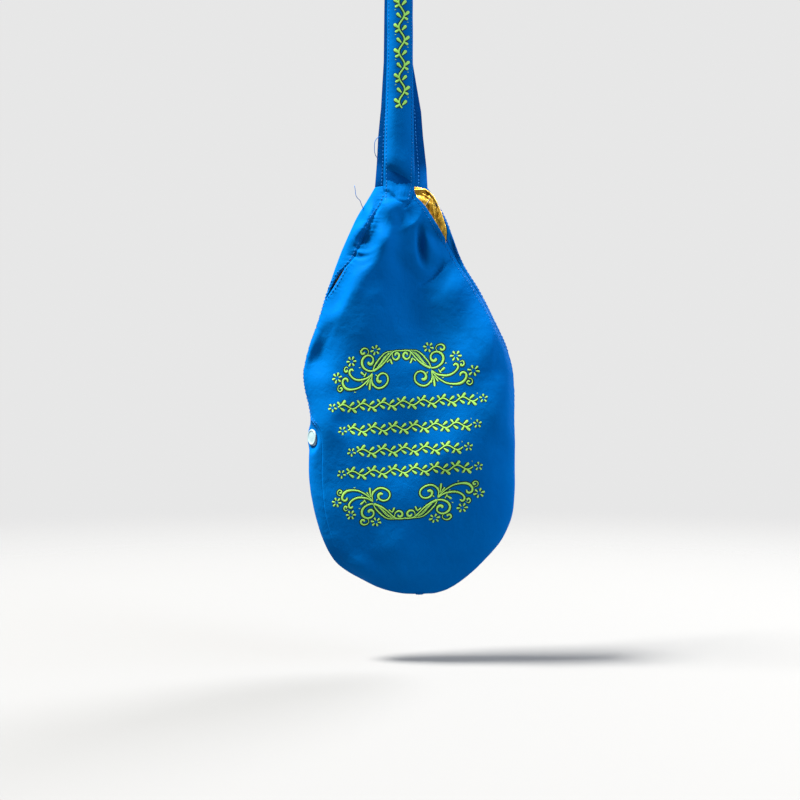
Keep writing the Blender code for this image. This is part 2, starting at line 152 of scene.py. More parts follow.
def smooth_curve(places, values):
    """A function that runs smoothly through the points and never swings past them."""
    places, values = np.array(places, float), np.array(values, float)
    steps = np.diff(places)
    slopes = np.diff(values) / steps
    before, after = slopes[:-1], slopes[1:]
    far, near = 2 * steps[1:] + steps[:-1], steps[1:] + 2 * steps[:-1]
    with np.errstate(divide="ignore", invalid="ignore"):
        mean = (far + near) / (far / before + near / after)
    tangents = np.concatenate([slopes[:1], np.where(before * after > 0, mean, 0), slopes[-1:]])

    def curve(at):
        at = np.clip(at, places[0], places[-1])
        k = np.clip(np.searchsorted(places, at, side="right") - 1, 0, len(steps) - 1)
        u = (at - places[k]) / steps[k]
        start = values[k] * (1 + 2 * u) * (1 - u) ** 2 + steps[k] * tangents[k] * u * (1 - u) ** 2
        end = values[k + 1] * (3 - 2 * u) * u**2 - steps[k] * tangents[k + 1] * u**2 * (1 - u)
        return start + end

    return curve


def smooth_step(low, high, at):
    """0 below low, 1 above high, and a soft S between them."""
    u = np.clip((at - low) / (high - low), 0, 1)
    return u * u * (3 - 2 * u)


def spread_bottom(share):
    """Stretches the last stretch, where the outline turns fast, so that its curve stays smooth."""
    return 1 - np.sqrt(np.maximum(1 - share, 0))


left_edge = smooth_curve(spread_bottom(OUTLINE[:, 0]), OUTLINE[:, 1] * BAG_WIDTH)
right_edge = smooth_curve(spread_bottom(OUTLINE[:, 0]), OUTLINE[:, 2] * BAG_WIDTH)
front_bulge = smooth_curve(FULLNESS[:, 0], FULLNESS[:, 1] * BAG_DEPTH / 2)
back_bulge = smooth_curve(FULLNESS[:, 0], FULLNESS[:, 2] * BAG_DEPTH / 2)
seam_in = smooth_curve(LEFT_SEAM[:, 0] / BAG_HEIGHT, LEFT_SEAM[:, 1])
front_edge_in = smooth_curve(MOUTH_EDGES[:, 0] * MOUTH_LENGTH / BAG_HEIGHT, MOUTH_EDGES[:, 1])
back_edge_in = smooth_curve(MOUTH_EDGES[:, 0] * MOUTH_LENGTH / BAG_HEIGHT, MOUTH_EDGES[:, 2])
print("half way down, the left edge is at mm:", mm(left_edge(spread_bottom(0.5))))

# %% A point of the ring


def ring_sizes(share):
    """Middle, half width, and front and back half depths of the ring at a share of the height."""
    left, right = left_edge(spread_bottom(share)), right_edge(spread_bottom(share))
    return (left + right) / 2, (right - left) / 2, front_bulge(share), back_bulge(share)


def ring_point(angle, share, inset):
    """Angle 0 is the left edge, pi the right one, and the front lies between. Below 0 is the back."""
    middle, half, front, back = ring_sizes(share)
    depth = np.where(np.sin(angle) > 0, front, back)
    across = np.sign(np.cos(angle)) * np.abs(np.cos(angle)) ** (2 / RING_POWER)
    out = np.sign(np.sin(angle)) * np.abs(np.sin(angle)) ** (2 / RING_POWER)
    rise = inset * smooth_step(0.80, 1.0, share)
    x = middle - (half - inset) * across
    y = -(depth - inset) * out
    z = rise + TOP - share * BAG_HEIGHT
    return np.stack(np.broadcast_arrays(x, y, z), axis=-1)


def angle_in(distance, share):
    """The angle of the front point that lies this far in from the left edge."""
    return np.arccos(np.maximum(1 - distance / ring_sizes(share)[1], 0) ** (RING_POWER / 2))


print("width at the fullest level in mm:", mm(2 * ring_sizes(0.6)[1]))

# %% [markdown]
# ## Folds
# A bag that hangs from a narrow strap folds where the cloth can't follow. Cloth simulation would give folds
# of its own choosing, so each fold is drawn instead: a line with a height and two widths, because a fold
# usually has a steep side and an easy side. Their sum pushes the cloth out towards the viewer.

# %% A smooth line through a few points
STEPS_BETWEEN_POINTS = 12


def length_along(points):
    """Length from the first of the points to each of them."""
    return np.concatenate([[0], np.cumsum(np.linalg.norm(np.diff(points, axis=0), axis=1))])


def rounded_path(points, spacing):
    """Evenly spaced points along a smooth line through the given ones.

    The first two columns say where each point is; any further ones, such as a width, go along with it.
    """
    points = np.array(points, float)
    ends = np.vstack([2 * points[0] - points[1], points, 2 * points[-1] - points[-2]])
    t = np.linspace(0, 1, STEPS_BETWEEN_POINTS, endpoint=False)[:, None]
    parts = []
    for a, b, c, d in zip(ends[:-3], ends[1:-2], ends[2:-1], ends[3:]):
        bend = (2 * a - 5 * b + 4 * c - d) * t**2 + (3 * b - 3 * c + d - a) * t**3
        parts.append(0.5 * (2 * b + (c - a) * t + bend))
    line = np.vstack(parts + [points[-1:]])
    run = length_along(line[:, :2])
    at = np.linspace(0, run[-1], max(int(run[-1] / spacing), 4) + 1)
    return np.stack([np.interp(at, run, line[:, k]) for k in range(line.shape[1])], axis=1), at


print("steps of 1 along a bend:", len(rounded_path([(0, 0), (5, 1), (10, 5)], 1.0)[0]) - 1)

# %% A fold as a line with two sides
FOLD_STEP = 1.6  # pixels between the points that stand for a fold's line
FOLD_SOFTNESS = 2.5  # pixels over which neighbouring points share their say
LEAST_WIDTH = 1.5  # pixels; the cloth's grid couldn't show a narrower fold
SIDE_CHANGE = 0.6  # how fast one side's width gives way to the other's, as a share of the softness


def fold(columns, rows, stations, softness=FOLD_SOFTNESS, least_width=LEAST_WIDTH):
    """Height of one fold, in millimetres, over a field of pixels.

    A station is (column, row, height, first width, second width). The first side is the left one of a line
    that is drawn downwards. All points of the line have a say, the nearest ones most, so the fold has no
    kink. A smaller softness makes it crisper, and no side gets narrower than the least width.
    """
    step = FOLD_STEP * softness / FOLD_SOFTNESS
    path, _ = rounded_path(stations, step)
    heading = np.gradient(path[:, :2], axis=0)
    heading /= np.linalg.norm(heading, axis=1)[:, None]
    reach = 3 * path[:, 3:].max() + 6
    low, high = path[:, :2].min(axis=0) - reach, path[:, :2].max(axis=0) + reach
    near = (columns > low[0]) & (columns < high[0]) & (rows > low[1]) & (rows < high[1])
    dx = columns[near][:, None] - path[:, 0]
    dy = rows[near][:, None] - path[:, 1]
    away = np.hypot(dx, dy)
    least = away.min(axis=1, keepdims=True, initial=1e9)
    says = np.exp(-(away - least) / softness)
    total = says.sum(axis=1)
    distance = least[:, 0] - softness * np.log(total * step / (2 * softness))
    says /= total[:, None]
    side = (says * (heading[:, 0] * dy - heading[:, 1] * dx)).sum(axis=1)
    first = 0.5 * (1 + np.tanh(side / (SIDE_CHANGE * softness)))
    width = says @ path[:, 4] + (says @ path[:, 3] - says @ path[:, 4]) * first
    height = np.zeros(np.shape(columns))
    off = np.maximum(distance, 0) / np.maximum(width, least_width)
    height[near] = (says @ path[:, 2]) * np.exp(-(off**2))
    return height


def sum_of_folds(columns, rows, folds, **form):
    """What a table of named folds adds up to, in metres."""
    total = np.zeros(np.shape(columns))
    for stations in folds.values():
        total += fold(columns, rows, stations, **form)
    return total * MILLIMETRE


test_fold = fold(np.array([0.0, 6.0]), np.array([10.0, 10.0]), [(0, 0, 2, 3, 6), (0, 20, 2, 3, 6)])
print("a 2 mm fold at its line and 6 pixels beside it, in mm:", np.round(test_fold, 2))

# %% [markdown]
# Between the drawn folds, real cotton is never quite even. A few dozen waves with seeded random directions
# add up to a soft unevenness that is the same each time the script runs.

# %% Soft unevenness


def unevenness(seed, longest, shortest, count):
    """A function of points in metres, about -1 to 1, with waves between the two lengths."""
    random = np.random.default_rng(seed)
    directions = random.normal(size=(count, 3))
    directions /= np.linalg.norm(directions, axis=1)[:, None]
    lengths = shortest * (longest / shortest) ** random.random(count)
    phases = random.random(count) * 2 * math.pi
    weights = (lengths / longest) ** 0.7
    weights /= np.sqrt((weights**2).sum() / 2)

    def value(points):
        total = np.zeros(points.shape[:-1])
        for direction, length, phase, weight in zip(directions, lengths, phases, weights):
            total += weight * np.sin(points @ (direction * 2 * math.pi / length) + phase)
        return total / 2

    return value


soft_waves = unevenness(7, 0.070, 0.022, 26)
small_waves = unevenness(11, 0.016, 0.006, 22)
print("soft waves at the strap's highest point:", np.round(soft_waves(np.zeros((1, 3))), 2))

# %% [markdown]
# ## The folds of the front
# Each fold has a name and a few stations: column, row, height in millimetres, and the width of its two sides
# in pixels. Below zero it is a hollow. They follow the photograph region by region, and broad ones come
# with narrow ones, because a real crease is sharp in its middle and soft around.

# %% The shoulder and the crest that runs down from the strap
SHOULDER_FOLDS = {
    "long crest down to the left side": [
        (392.5, 198, 0, 8, 7.5), (385.5, 211, 5.9, 8.5, 8.5), (384.5, 226, 5, 7.5, 13),
        (384, 242.5, 9.5, 7.5, 8.5), (377, 258, 6.7, 7.5, 15.5), (365.5, 276, 5.4, 17, 60.5),
        (353.5, 294.5, 6.8, 7.5, 40), (343.5, 316, 5.1, 8, 29.5), (336.5, 337.5, 0, 33, 33.5),
    ],
    "puff of the left shoulder": [
        (369.5, 204, 0, 5.5, 4), (369, 221.5, 6.4, 3.5, 7), (355, 236.5, 5.4, 6.5, 7),
        (349.5, 254.5, 0, 6.5, 7),
    ],
    "crease of the left shoulder": [
        (376, 200, 0, 3.5, 2.5), (377.5, 217, -3.4, 2.5, 7), (370, 232.5, 0.5, 4, 5.5),
        (364, 246, 0, 4, 4),
    ],
    "a light fold across it": [
        (364, 256, 0, 4, 4), (372, 250, -0.4, 5.5, 4.5), (381, 245.5, -0.4, 5, 5), (388, 244.5, 0, 4, 4),
    ],
    "hollow along the seam": [
        (349.5, 262, 0, 7, 7.5), (343.5, 280, -2, 6.5, 9.5), (336, 300, -1.2, 6.5, 7),
        (328, 318, 0, 8, 9),
    ],
    "fine band above the crest": [
        (383.5, 251.5, 0, 5, 4.5), (374, 265.5, 1.4, 2, 4), (358.5, 280, 2.6, 7.5, 7.5),
        (346.5, 301.5, 0, 5, 7),
    ],
    "pucker by the seam": [
        (356.5, 244.5, 0, 7, 4), (363, 239, -3.4, 4, 2.5), (369, 231, 0, 4.5, 3.5),
    ],
    "hollow left of the seam": [
        (371, 204, 0, 6, 2.5), (370, 214, 1.3, 6, 2.5), (368, 224, -0.4, 6.5, 2), (365.5, 236, 0, 5, 2),
    ],
    "puff beside the finger hole": [
        (358, 262, 0, 3, 4), (350.5, 272, 0.2, 3, 4), (343.5, 284, -0.5, 3, 4), (339.5, 298, 0, 3, 4),
    ],
    "line where the shoulder's seam sinks in": [
        (385, 196, 0, 1.6, 1.6), (378, 206, -0.5, 1.6, 1.6), (372, 217, -1, 1.8, 1.8),
        (369.5, 228, -1.6, 2.2, 1.8), (362, 239, -1.2, 2.2, 1.8), (356, 246, 0, 2, 1.8),
    ],
    "a pucker across the seam": [
        (351, 239, 0, 1.8, 1.8), (358, 244, 1.2, 1.8, 1.8), (366, 246, 1, 1.8, 1.8),
        (374, 244, 0, 1.8, 1.8),
    ],
    "a second pucker across the seam": [
        (353, 249, 0, 1.8, 2), (360, 252.5, 1.1, 1.8, 2), (368, 252, 1.2, 1.8, 2.4),
        (377, 248, 0, 1.8, 2),
    ],
    "a third pucker across the seam": [
        (347, 256, 0, 1.6, 1.8), (354, 256.5, -1.2, 1.6, 1.8), (362, 257.5, -1, 1.6, 1.8),
        (370, 256, 0, 1.6, 1.8),
    ],
}
print("folds of the shoulder:", len(SHOULDER_FOLDS))

# %% The lobe of cloth under the strap's sewn end
LOBE_FOLDS = {
    "lobe under the strap": [
        (386, 236.5, 0, 2.5, 8), (394, 233, -0.3, 2.5, 12.5), (403.5, 231.5, 0.7, 3, 17),
        (410, 225.5, 2.5, 3, 18.5), (416, 221, 1.6, 3, 18), (418.5, 213.5, 1, 3, 15.5),
        (420.5, 205, 0, 4, 11.5),
    ],
    "valley under the strap": [
        (398, 196, 0, 5, 5), (400.5, 207.5, 0.4, 5, 6), (405, 219, -3.1, 4, 8.5),
        (401.5, 230.5, 0, 8, 4),
    ],
    "thin line in the lobe": [
        (399.5, 212, 0, 2.5, 3), (405, 217.5, 1.4, 2.5, 3.5), (406.5, 226, 0.7, 2.5, 3),
        (404.5, 231, 0, 2.5, 3),
    ],
    "turned edge of the lobe, above the groove": [
        (390, 233.5, 0, 1.6, 6), (400, 230.5, 0.7, 1.6, 8), (408, 226.5, 1, 1.6, 9),
        (415, 221.5, 1, 1.6, 9), (420, 214, 0, 2, 8),
    ],
    "deep groove": [
        (420.5, 222, 0, 3, 4), (420.5, 232, -0.6, 3, 5), (420, 244.5, -1.8, 5, 6.5),
        (424, 256, -1, 5.5, 6), (426.5, 268, 0, 5.5, 6),
    ],
    "groove's far wall": [
        (428, 226.5, 0, 6, 5), (435.5, 237.5, -4.2, 3, 5), (442, 249, -1.8, 6, 7.5),
        (447.5, 261.5, 0, 6.5, 7),
    ],
    "narrow slit in the groove": [
        (419, 224, 0, 1.6, 2.5), (419.4, 234, -4, 1.6, 2.8), (419.8, 245, -5.4, 1.6, 3.2),
        (421, 256, -4, 1.8, 3.4), (424, 266, 0, 2.2, 3),
    ],
    "swelling where the strap is sewn on": [
        (378, 203, 0.2, 20, 13), (390, 206, 1.2, 22, 16), (402, 209, 1.5, 24, 18),
        (414, 208, 0.6, 16, 15),
    ],
    "roll over the strap's sewn end": [
        (379, 206, 0, 8, 2.5), (386, 204.5, 1.2, 9, 3), (397, 204.5, 1.5, 9, 3), (408, 203, 1.2, 8, 2.5),
        (414, 200, 0, 7, 2),
    ],
    "short dark tuck beside the strap's end": [
        (403, 208.5, 0, 1.6, 1.6), (406, 205.5, -1.8, 1.6, 1.6), (409.5, 202, 0, 1.6, 1.6),
    ],
}
print("folds of the lobe:", len(LOBE_FOLDS))

# %% The creases between the mouth and the right side
RIGHT_FOLDS = {
    "hollow beside the mouth": [
        (434, 208, 0, 6, 4), (441.5, 227.5, 0.2, 9, 4), (453.5, 247.5, -5.9, 8.5, 4),
        (464.5, 268, 0, 10.5, 4),
    ],
    "curved crease": [
        (450, 252.5, 0, 12.5, 4), (442, 263.5, -3.6, 8, 4.5), (435.5, 271, -1.9, 11.5, 3.5),
        (428.5, 278, 0.2, 13, 4), (419.5, 283.5, 0, 10, 4),
    ],
    "sharp end of the curved crease": [
        (418.5, 284, 0, 1.8, 1.6), (425.5, 280.5, -1.6, 1.8, 1.6), (431.8, 275.5, -2, 1.8, 1.7),
        (437.8, 268, -1.6, 1.8, 1.7), (443.5, 258, 0, 1.8, 1.6),
    ],
    "swelling below the curved crease": [
        (452.5, 262.5, 0, 7, 5), (444.5, 275, -1.8, 14.5, 4), (435.5, 285.5, -1.6, 11, 10),
        (426.5, 296.5, 0, 8.5, 8.5),
    ],
    "crease below that swelling": [
        (426, 290.5, 0, 7.5, 2.5), (434.5, 285.5, 0.2, 9, 2.5), (445.5, 276, -1.5, 8.5, 2.5),
        (455.5, 263, 0, 7.5, 2.5),
    ],
    "full cloth from the curved crease on": [
        (425, 294, 0, 30, 7), (435, 290, 2.4, 36, 8), (443, 283.5, 3.2, 40, 8.5), (450, 275, 2.6, 34, 8),
        (457, 263, 0, 20, 7),
    ],
    "bright cloth below it": [
        (470, 262, 0.4, 14, 20), (460, 280, 2.4, 13, 20), (447, 298, 2, 12, 22), (432, 314, 0, 10, 20),
    ],
    "second crease": [
        (469.5, 267.5, 0, 6.5, 4), (458.5, 274, -0.6, 10.5, 3.5), (450, 286, -0.3, 9, 4.5),
        (440.5, 298.5, 0, 6.5, 4.5),
    ],
    "ridge of the right shoulder": [
        (466, 258, 0, 13.5, 8), (474.5, 284, -1.6, 10, 10), (481, 312, -0.4, 12.5, 9.5),
        (490.5, 341.5, 2, 16, 3.5), (489, 375, 0, 21.5, 2),
    ],
    "soft wave beside it": [
        (460.5, 291.5, 0, 9.5, 12), (465, 317.5, -0.8, 8, 9), (473, 340.5, -1.2, 18, 15),
        (487.5, 357, 0, 4, 13.5),
    ],
    "fine fold in that wave": [
        (455, 300, 0, 6, 3), (466, 316, 0, 6, 3), (474, 330, 0.3, 6, 3), (480, 346, 0, 6, 3),
    ],
    "full cloth down the right side": [
        (478, 290, 0, 24, 8), (492, 322, 4.6, 38, 9), (502, 358, 5.6, 44, 9), (507, 400, 3.6, 40, 9),
        (508, 450, 0, 30, 9),
    ],
    "roll at the right edge": [
        (488, 372, 0, 17.5, 7.5), (501.5, 391.5, 4.2, 19, 8), (503.5, 420.5, 5.5, 13, 5),
        (505, 450, 0, 12, 5.5),
    ],
}
print("folds at the right:", len(RIGHT_FOLDS))

# %% The wide waves of the belly
BELLY_FOLDS = {
    "hollow at the left edge": [
        (352, 310, 0, 8, 8), (334.5, 318.5, 0, 9, 4.5), (324, 337.5, -3.2, 4.5, 6),
        (316, 357, 0, 7.5, 7.5),
    ],
    "swelling at the left edge": [
        (331, 340, 0, 4.5, 6.5), (318.5, 359, -6.5, 8, 12.5), (314, 384, 0.3, 13, 14.5),
        (317.5, 410, 0, 8, 9),
    ],
    "dark middle valley": [
        (398, 250, 0, 14, 15), (405, 275.5, -5.4, 22, 63.5), (412.5, 304.5, -8.8, 24.5, 55.5),
        (399.5, 334, 0, 32, 37),
    ],
    "slanting wave": [
        (376.5, 300, 0, 13, 17), (367.5, 330.5, 1.9, 10, 18.5), (351.5, 355.5, 0.4, 25.5, 23),
        (340, 384, 0, 18, 19.5),
    ],
    "hollow right of the middle": [
        (432, 300, 0, 8.5, 11), (429, 330.5, -4.6, 38.5, 27.5), (437, 362, -5.4, 16.5, 18.5),
        (441, 396, 0, 44, 23),
    ],
    "left wave": [
        (335.5, 392, 0, 17.5, 16.5), (327, 424, 5.2, 33.5, 9), (335, 456.5, 2, 30, 26.5),
        (344.5, 490, 0, 9, 14),
    ],
    "shallow valley beside it": [
        (366, 394, 0, 13.5, 14.5), (368, 424, -0.2, 16.5, 16.5), (366, 456, -0.1, 16.5, 17.5),
        (362, 490, 0, 15, 15),
    ],
    "middle wave": [
        (404.5, 396, 0, 15.5, 21.5), (407.5, 426, -2.3, 19, 17), (405, 456, -2.1, 20.5, 13),
        (398, 489.5, 0, 19.5, 10),
    ],
    "wave right of the middle": [
        (440, 396, 0, 12, 14), (447, 426, 1.6, 20, 28), (448, 456, 3.6, 13.5, 30.5),
        (439.5, 490, 0, 20.5, 15),
    ],
    "right wave": [
        (474.5, 392, 0, 13, 12), (481, 426, 3.7, 31.5, 17), (482.5, 460, 3.4, 43, 16.5),
        (477, 500, 0, 20.5, 10),
    ],
}
print("waves of the belly:", len(BELLY_FOLDS))

# %% The foot of the bag
FOOT_FOLDS = {
    "low left hollow": [
        (330, 500, 0, 10.5, 11), (340, 524, -0.6, 11, 11.5), (354, 546, 0.3, 12, 12.5),
        (370, 566, 0, 10, 10),
    ],
    "fold along the foot": [
        (372, 560, 0, 7, 6), (396, 572, 1, 8, 7), (420, 577.5, 0.7, 7.5, 7), (446, 576, 0, 7, 6),
    ],
    "swelling above it": [
        (370, 540.5, 0, 15.5, 12.5), (396, 548.5, 2, 19, 20), (424, 549.5, 0.1, 14.5, 14.5),
        (452, 544, 0, 12, 12),
    ],
    "low left ridge": [
        (345.5, 556.5, 0, 5.5, 6.5), (359, 567.5, 3.2, 6.5, 9.5), (376.5, 577.5, 2.4, 6, 8),
        (390, 585.5, 0, 5, 5.5),
    ],
    "low right hollow": [
        (470, 520, 0, 10, 10), (462, 544, -0.1, 12, 12), (448, 562, -0.4, 12, 12), (430, 574, 0, 10, 10),
    ],
    "rounding above the foot of the bag": [
        (370, 571, 0, 7, 26), (395, 572, 1.3, 7, 28), (420, 571, 1.4, 7, 28), (450, 564, 0, 7, 26),
    ],
    "seam allowance that shows through, lower left": [
        (321, 536, 0, 1.8, 2.2), (331, 553, -0.7, 2, 2.6), (345, 568, -0.9, 2.2, 3),
        (362, 578.5, -0.8, 2, 3), (384, 587, 0, 2, 2.6),
    ],
}
print("folds of the foot:", len(FOOT_FOLDS))

# %% The folds of the back
# The back is out of sight, so it gets the quiet folds that the strap's pull and the filling make.
BACK_FOLDS = {
    "from the strap down to the left": [
        (386, 206, 0, 6, 12), (376, 250, 5, 9, 22), (356, 310, 4, 14, 34), (338, 356, 0, 16, 30),
    ],
    "from the strap down to the right": [
        (415, 206, 0, 13, 6), (424, 250, 5.2, 24, 9), (440, 312, 4.4, 36, 13), (462, 362, 0, 30, 15),
    ],
    "valley between them": [
        (401, 214, 0, 5, 6), (403, 250, -4, 9, 10), (406, 286, -3.4, 14, 15), (404, 322, 0, 14, 14),
    ],
    "beside the mouth": [
        (440, 226, 0, 4, 5), (450, 262, -2.6, 6, 8), (470, 306, 0, 7, 9),
    ],
    "beside the finger hole": [
        (364, 232, 0, 5, 4), (352, 268, -2.4, 8, 6), (334, 312, 0, 9, 8),
    ],
    "slanting hollow on the right": [
        (486, 306, 0, 9, 7), (470, 344, -2.6, 13, 10), (436, 384, -2.2, 15, 12), (410, 408, 0, 12, 12),
    ],
    "low left valley": [
        (326, 366, 0, 14, 10), (352, 424, -2.4, 20, 15), (384, 486, 0, 20, 16),
    ],
    "low right wave": [
        (462, 416, 0, 12, 18), (446, 470, 2.4, 18, 26), (418, 528, 0, 20, 24),
    ],
    "along the foot": [
        (376, 564, 0, 6, 6), (408, 575, -2.2, 7, 8), (448, 570, 0, 6, 6),
    ],
    "middle ridge": [
        (420, 330, 0, 6, 9), (408, 356, 1.6, 8, 12), (388, 384, 0, 8, 12),
    ],
}
FRONT_FOLDS = {**SHOULDER_FOLDS, **LOBE_FOLDS, **RIGHT_FOLDS, **BELLY_FOLDS, **FOOT_FOLDS}
print("folds of the front:", len(FRONT_FOLDS), "folds of the back:", len(BACK_FOLDS))

# %% [markdown]
# ## From the ring to the cloth
# A point of the cloth is a point of its ring, pushed out by the folds. Under the press stud the cloth is
# drawn flat, because the stud clamps it.

# %% The flat under the press stud
STUD_OUT = np.array([-math.cos(STUD_TURN), -math.sin(STUD_TURN), 0])
STUD_SINK = 0.0015
STUD_FLAT_RADIUS = CAP_RADIUS + 0.0015
STUD_FADE_RADIUS = STUD_FLAT_RADIUS + 0.0070
STUD_NEAR = 0.004  # cloth this near to the stud's seat, along its axis, is drawn fully flat
STUD_REACH = 0.012
ring_at_stud = ring_point(np.radians(np.arange(0, 90, 0.25)), STUD_DROP / BAG_HEIGHT, 0)
STUD_SEAT = ring_at_stud[np.argmax(ring_at_stud @ STUD_OUT)] - STUD_OUT * STUD_SINK


def pressed_flat(points, depth):
    """Draws the points near the stud onto a plane this deep below its seat."""
    off = points - STUD_SEAT
    along = off @ STUD_OUT
    away = np.linalg.norm(off - along[..., None] * STUD_OUT, axis=-1)
    pull = 1 - smooth_step(STUD_FLAT_RADIUS, STUD_FADE_RADIUS, away)
    pull *= 1 - smooth_step(STUD_NEAR, STUD_REACH, np.abs(along))
    return points - ((along + depth) * pull)[..., None] * STUD_OUT


print("press stud's seat in mm:", mm(STUD_SEAT))

# %% Points of the folded cloth
FOLDS_BEGIN = (0.05, 0.42)  # the sines of a ring's angle between which the folds grow to full height


def cloth_point(angle, share, inset=0.0, stud_depth=0.0):
    """A point of the folded cloth. The folds fade out at the outline, so they leave it as it is."""
    points = ring_point(angle, share, inset)
    columns, rows = to_pixels(points[..., 0], points[..., 2], points[..., 1])
    turn = np.sin(angle)
    points[..., 1] -= sum_of_folds(columns, rows, FRONT_FOLDS) * smooth_step(*FOLDS_BEGIN, turn)
    points[..., 1] += sum_of_folds(columns, rows, BACK_FOLDS) * smooth_step(*FOLDS_BEGIN, -turn)
    return pressed_flat(points, stud_depth)


def front_depth(x, share):
    """y of the front's outer face at x, with its folds."""
    middle, half, front, _ = ring_sizes(share)
    part = np.clip(np.abs(x - middle) / half, 0, 1)
    out = (1 - part**RING_POWER) ** (1 / RING_POWER)
    turn = np.sqrt(np.clip(1 - part**RING_POWER, 0, 1))
    columns, rows = to_pixels(x, TOP - share * BAG_HEIGHT, -front * out)
    folds = sum_of_folds(columns, rows, FRONT_FOLDS) * smooth_step(*FOLDS_BEGIN, turn)
    return -front * out - folds - SEAM_SPACE / 2


print("y of the front, half way down, in mm:", mm(front_depth(np.array([0.0]), 0.5)))

# %% [markdown]
# ## A grid of cloth
# Each panel is a grid: rows run round the bag, columns run down it. A regular grid follows the weave of
# the real cloth, takes folds evenly, and lets us find "2 mm in from the edge" when it is time to sew.

# %% Rows of the grids
ROWS = 300
TOP_ROWS_CLOSER = 0.7  # how much closer the rows lie at the top, where the folds are fine
TOP_ROWS_END = (0.25, 0.42)  # shares of the height between which that fades


def level_rows(count):
    """Shares of the height, evenly along the bag's side, but closer at the top."""
    share = 1 - (1 - np.linspace(0, 1, 4000)) ** 2
    left, right = ring_point(0.0, share, 0), ring_point(math.pi, share, 0)
    left_steps = np.linalg.norm(np.diff(left, axis=0), axis=1)
    right_steps = np.linalg.norm(np.diff(right, axis=0), axis=1)
    steps = np.maximum(left_steps, right_steps)
    steps *= 1 + TOP_ROWS_CLOSER * (1 - smooth_step(*TOP_ROWS_END, share[1:]))
    run = np.concatenate([[0], np.cumsum(steps)])
    return np.interp(np.linspace(0, run[-1], count), run, share)


print("the first rows in shares of the height:", np.round(level_rows(ROWS)[:4], 4))

# %% Columns of the grids
PANEL_COLUMNS = 150
LINING_COLUMNS = 90
FINE_STEPS = 720
SEAM_OVERLAP = 0.0004
LINING_EDGE_IN = 0.0028  # how far the front lining's free edge lies behind the mouth's edge
BACK_EDGE_OUT = 2.4  # the back lining's edge goes this many times as far the other way, out to the side
MOUTH_ENDS = (0.52, 0.60)  # shares of the height between which the linings' edges come back to the seam


def finger_gap(share):
    """Width of the finger hole, an ellipse, at this share of the height."""
    off = (share * BAG_HEIGHT - HOLE_DROP) / (HOLE_LENGTH / 2)
    return HOLE_WIDTH * np.sqrt(np.maximum(1 - off * off, 0))


def column_angles(share, front, columns, lining):
    """One piece's angles at this level, from its left edge to its right edge, evenly by length."""
    fine = np.linspace(-1.5 * math.pi, math.pi, FINE_STEPS)
    ring = ring_point(fine, share, 0)[:, :2]
    run = length_along(ring)
    seam = np.interp(angle_in(seam_in(share), share), fine, run)
    spread = finger_gap(share) / 2 + (SEAM_SPACE / 2 if lining else -SEAM_OVERLAP)
    held_in = LINING_EDGE_IN * (1 - smooth_step(*MOUTH_ENDS, share)) if lining else 0.0
    if front:
        start = seam + spread
        edge_in = front_edge_in(share) + held_in
        end = np.interp(math.pi - angle_in(edge_in, share), fine, run) - SEAM_SPACE / 2
    else:
        start = seam - spread
        edge_in = np.maximum(back_edge_in(share) - BACK_EDGE_OUT * held_in, 0.0)
        end = np.interp(-math.pi - angle_in(edge_in, share), fine, run) + SEAM_SPACE / 2
    return np.interp(np.linspace(start, end, columns), run, fine)


print("angles of the front's columns:", np.round(column_angles(0.6, True, 5, False), 2))

# %% A grid of points for one piece
FOOT_CLOSED = 0.2  # along the foot both pieces come this near to the middle plane


def cloth_grid(front, columns, inset=0.0, stud_depth=0.0, rows=ROWS):
    """A panel's points where inset is 0, and otherwise those of a lining that lies this far inside."""
    shares = level_rows(rows)
    lining = inset > 0
    angles = np.array([column_angles(share, front, columns, lining) for share in shares])
    grid = cloth_point(angles, shares[:, None] + 0 * angles, inset, stud_depth)
    grid[..., 1] += -SEAM_SPACE / 2 if front else SEAM_SPACE / 2
    grid[-1, :, 1] *= FOOT_CLOSED
    return grid


def run_along(grid, axis):
    """Length from the grid's first row or column to each of its points."""
    steps = np.linalg.norm(np.diff(grid, axis=axis), axis=-1)
    zero = np.zeros_like(np.take(steps, [0], axis=axis))
    return np.concatenate([zero, np.cumsum(steps, axis=axis)], axis=axis)


front_grid = cloth_grid(True, PANEL_COLUMNS)
back_grid = cloth_grid(False, PANEL_COLUMNS)
print("the front's width at its top, in mm:", mm(run_along(front_grid, 1)[0, -1]))

# %% Normals, and lines that keep their distance from an edge


def grid_normals(grid, outward):
    """Unit normals. outward is 1 or -1, to turn them away from the bag's inside."""
    normals = np.cross(np.gradient(grid, axis=1), np.gradient(grid, axis=0)) * outward
    return normals / np.maximum(np.linalg.norm(normals, axis=-1, keepdims=True), 1e-12)


def line_at(grid, values, distance, from_right=False):
    """A grid's values along the line down it that stays this far in from its left or right edge."""
    run = run_along(grid[:, ::-1] if from_right else grid, 1)
    rows = values[:, ::-1] if from_right else values
    return np.array([[np.interp(distance, r, row[:, k]) for k in range(3)] for r, row in zip(run, rows)])


print("a line 3 mm in from the seam begins at mm:", mm(line_at(front_grid, front_grid, 0.003)[0]))

# %% A mesh from a grid


def new_object(name, points, faces, uvs=None):
    """A smooth shaded object in the scene, with one uv for each point where they are given."""
    mesh = bpy.data.meshes.new(name)
    mesh.from_pydata(np.asarray(points, float).tolist(), [], faces)
    mesh.validate()
    if uvs is not None:
        layer = mesh.uv_layers.new(name="Cloth")
        corners = np.empty(len(mesh.loops), int)
        mesh.loops.foreach_get("vertex_index", corners)
        layer.data.foreach_set("uv", np.asarray(uvs, float)[corners].ravel())
    mesh.shade_smooth()
    made = bpy.data.objects.new(name, mesh)
    bpy.context.scene.collection.objects.link(made)
    return made


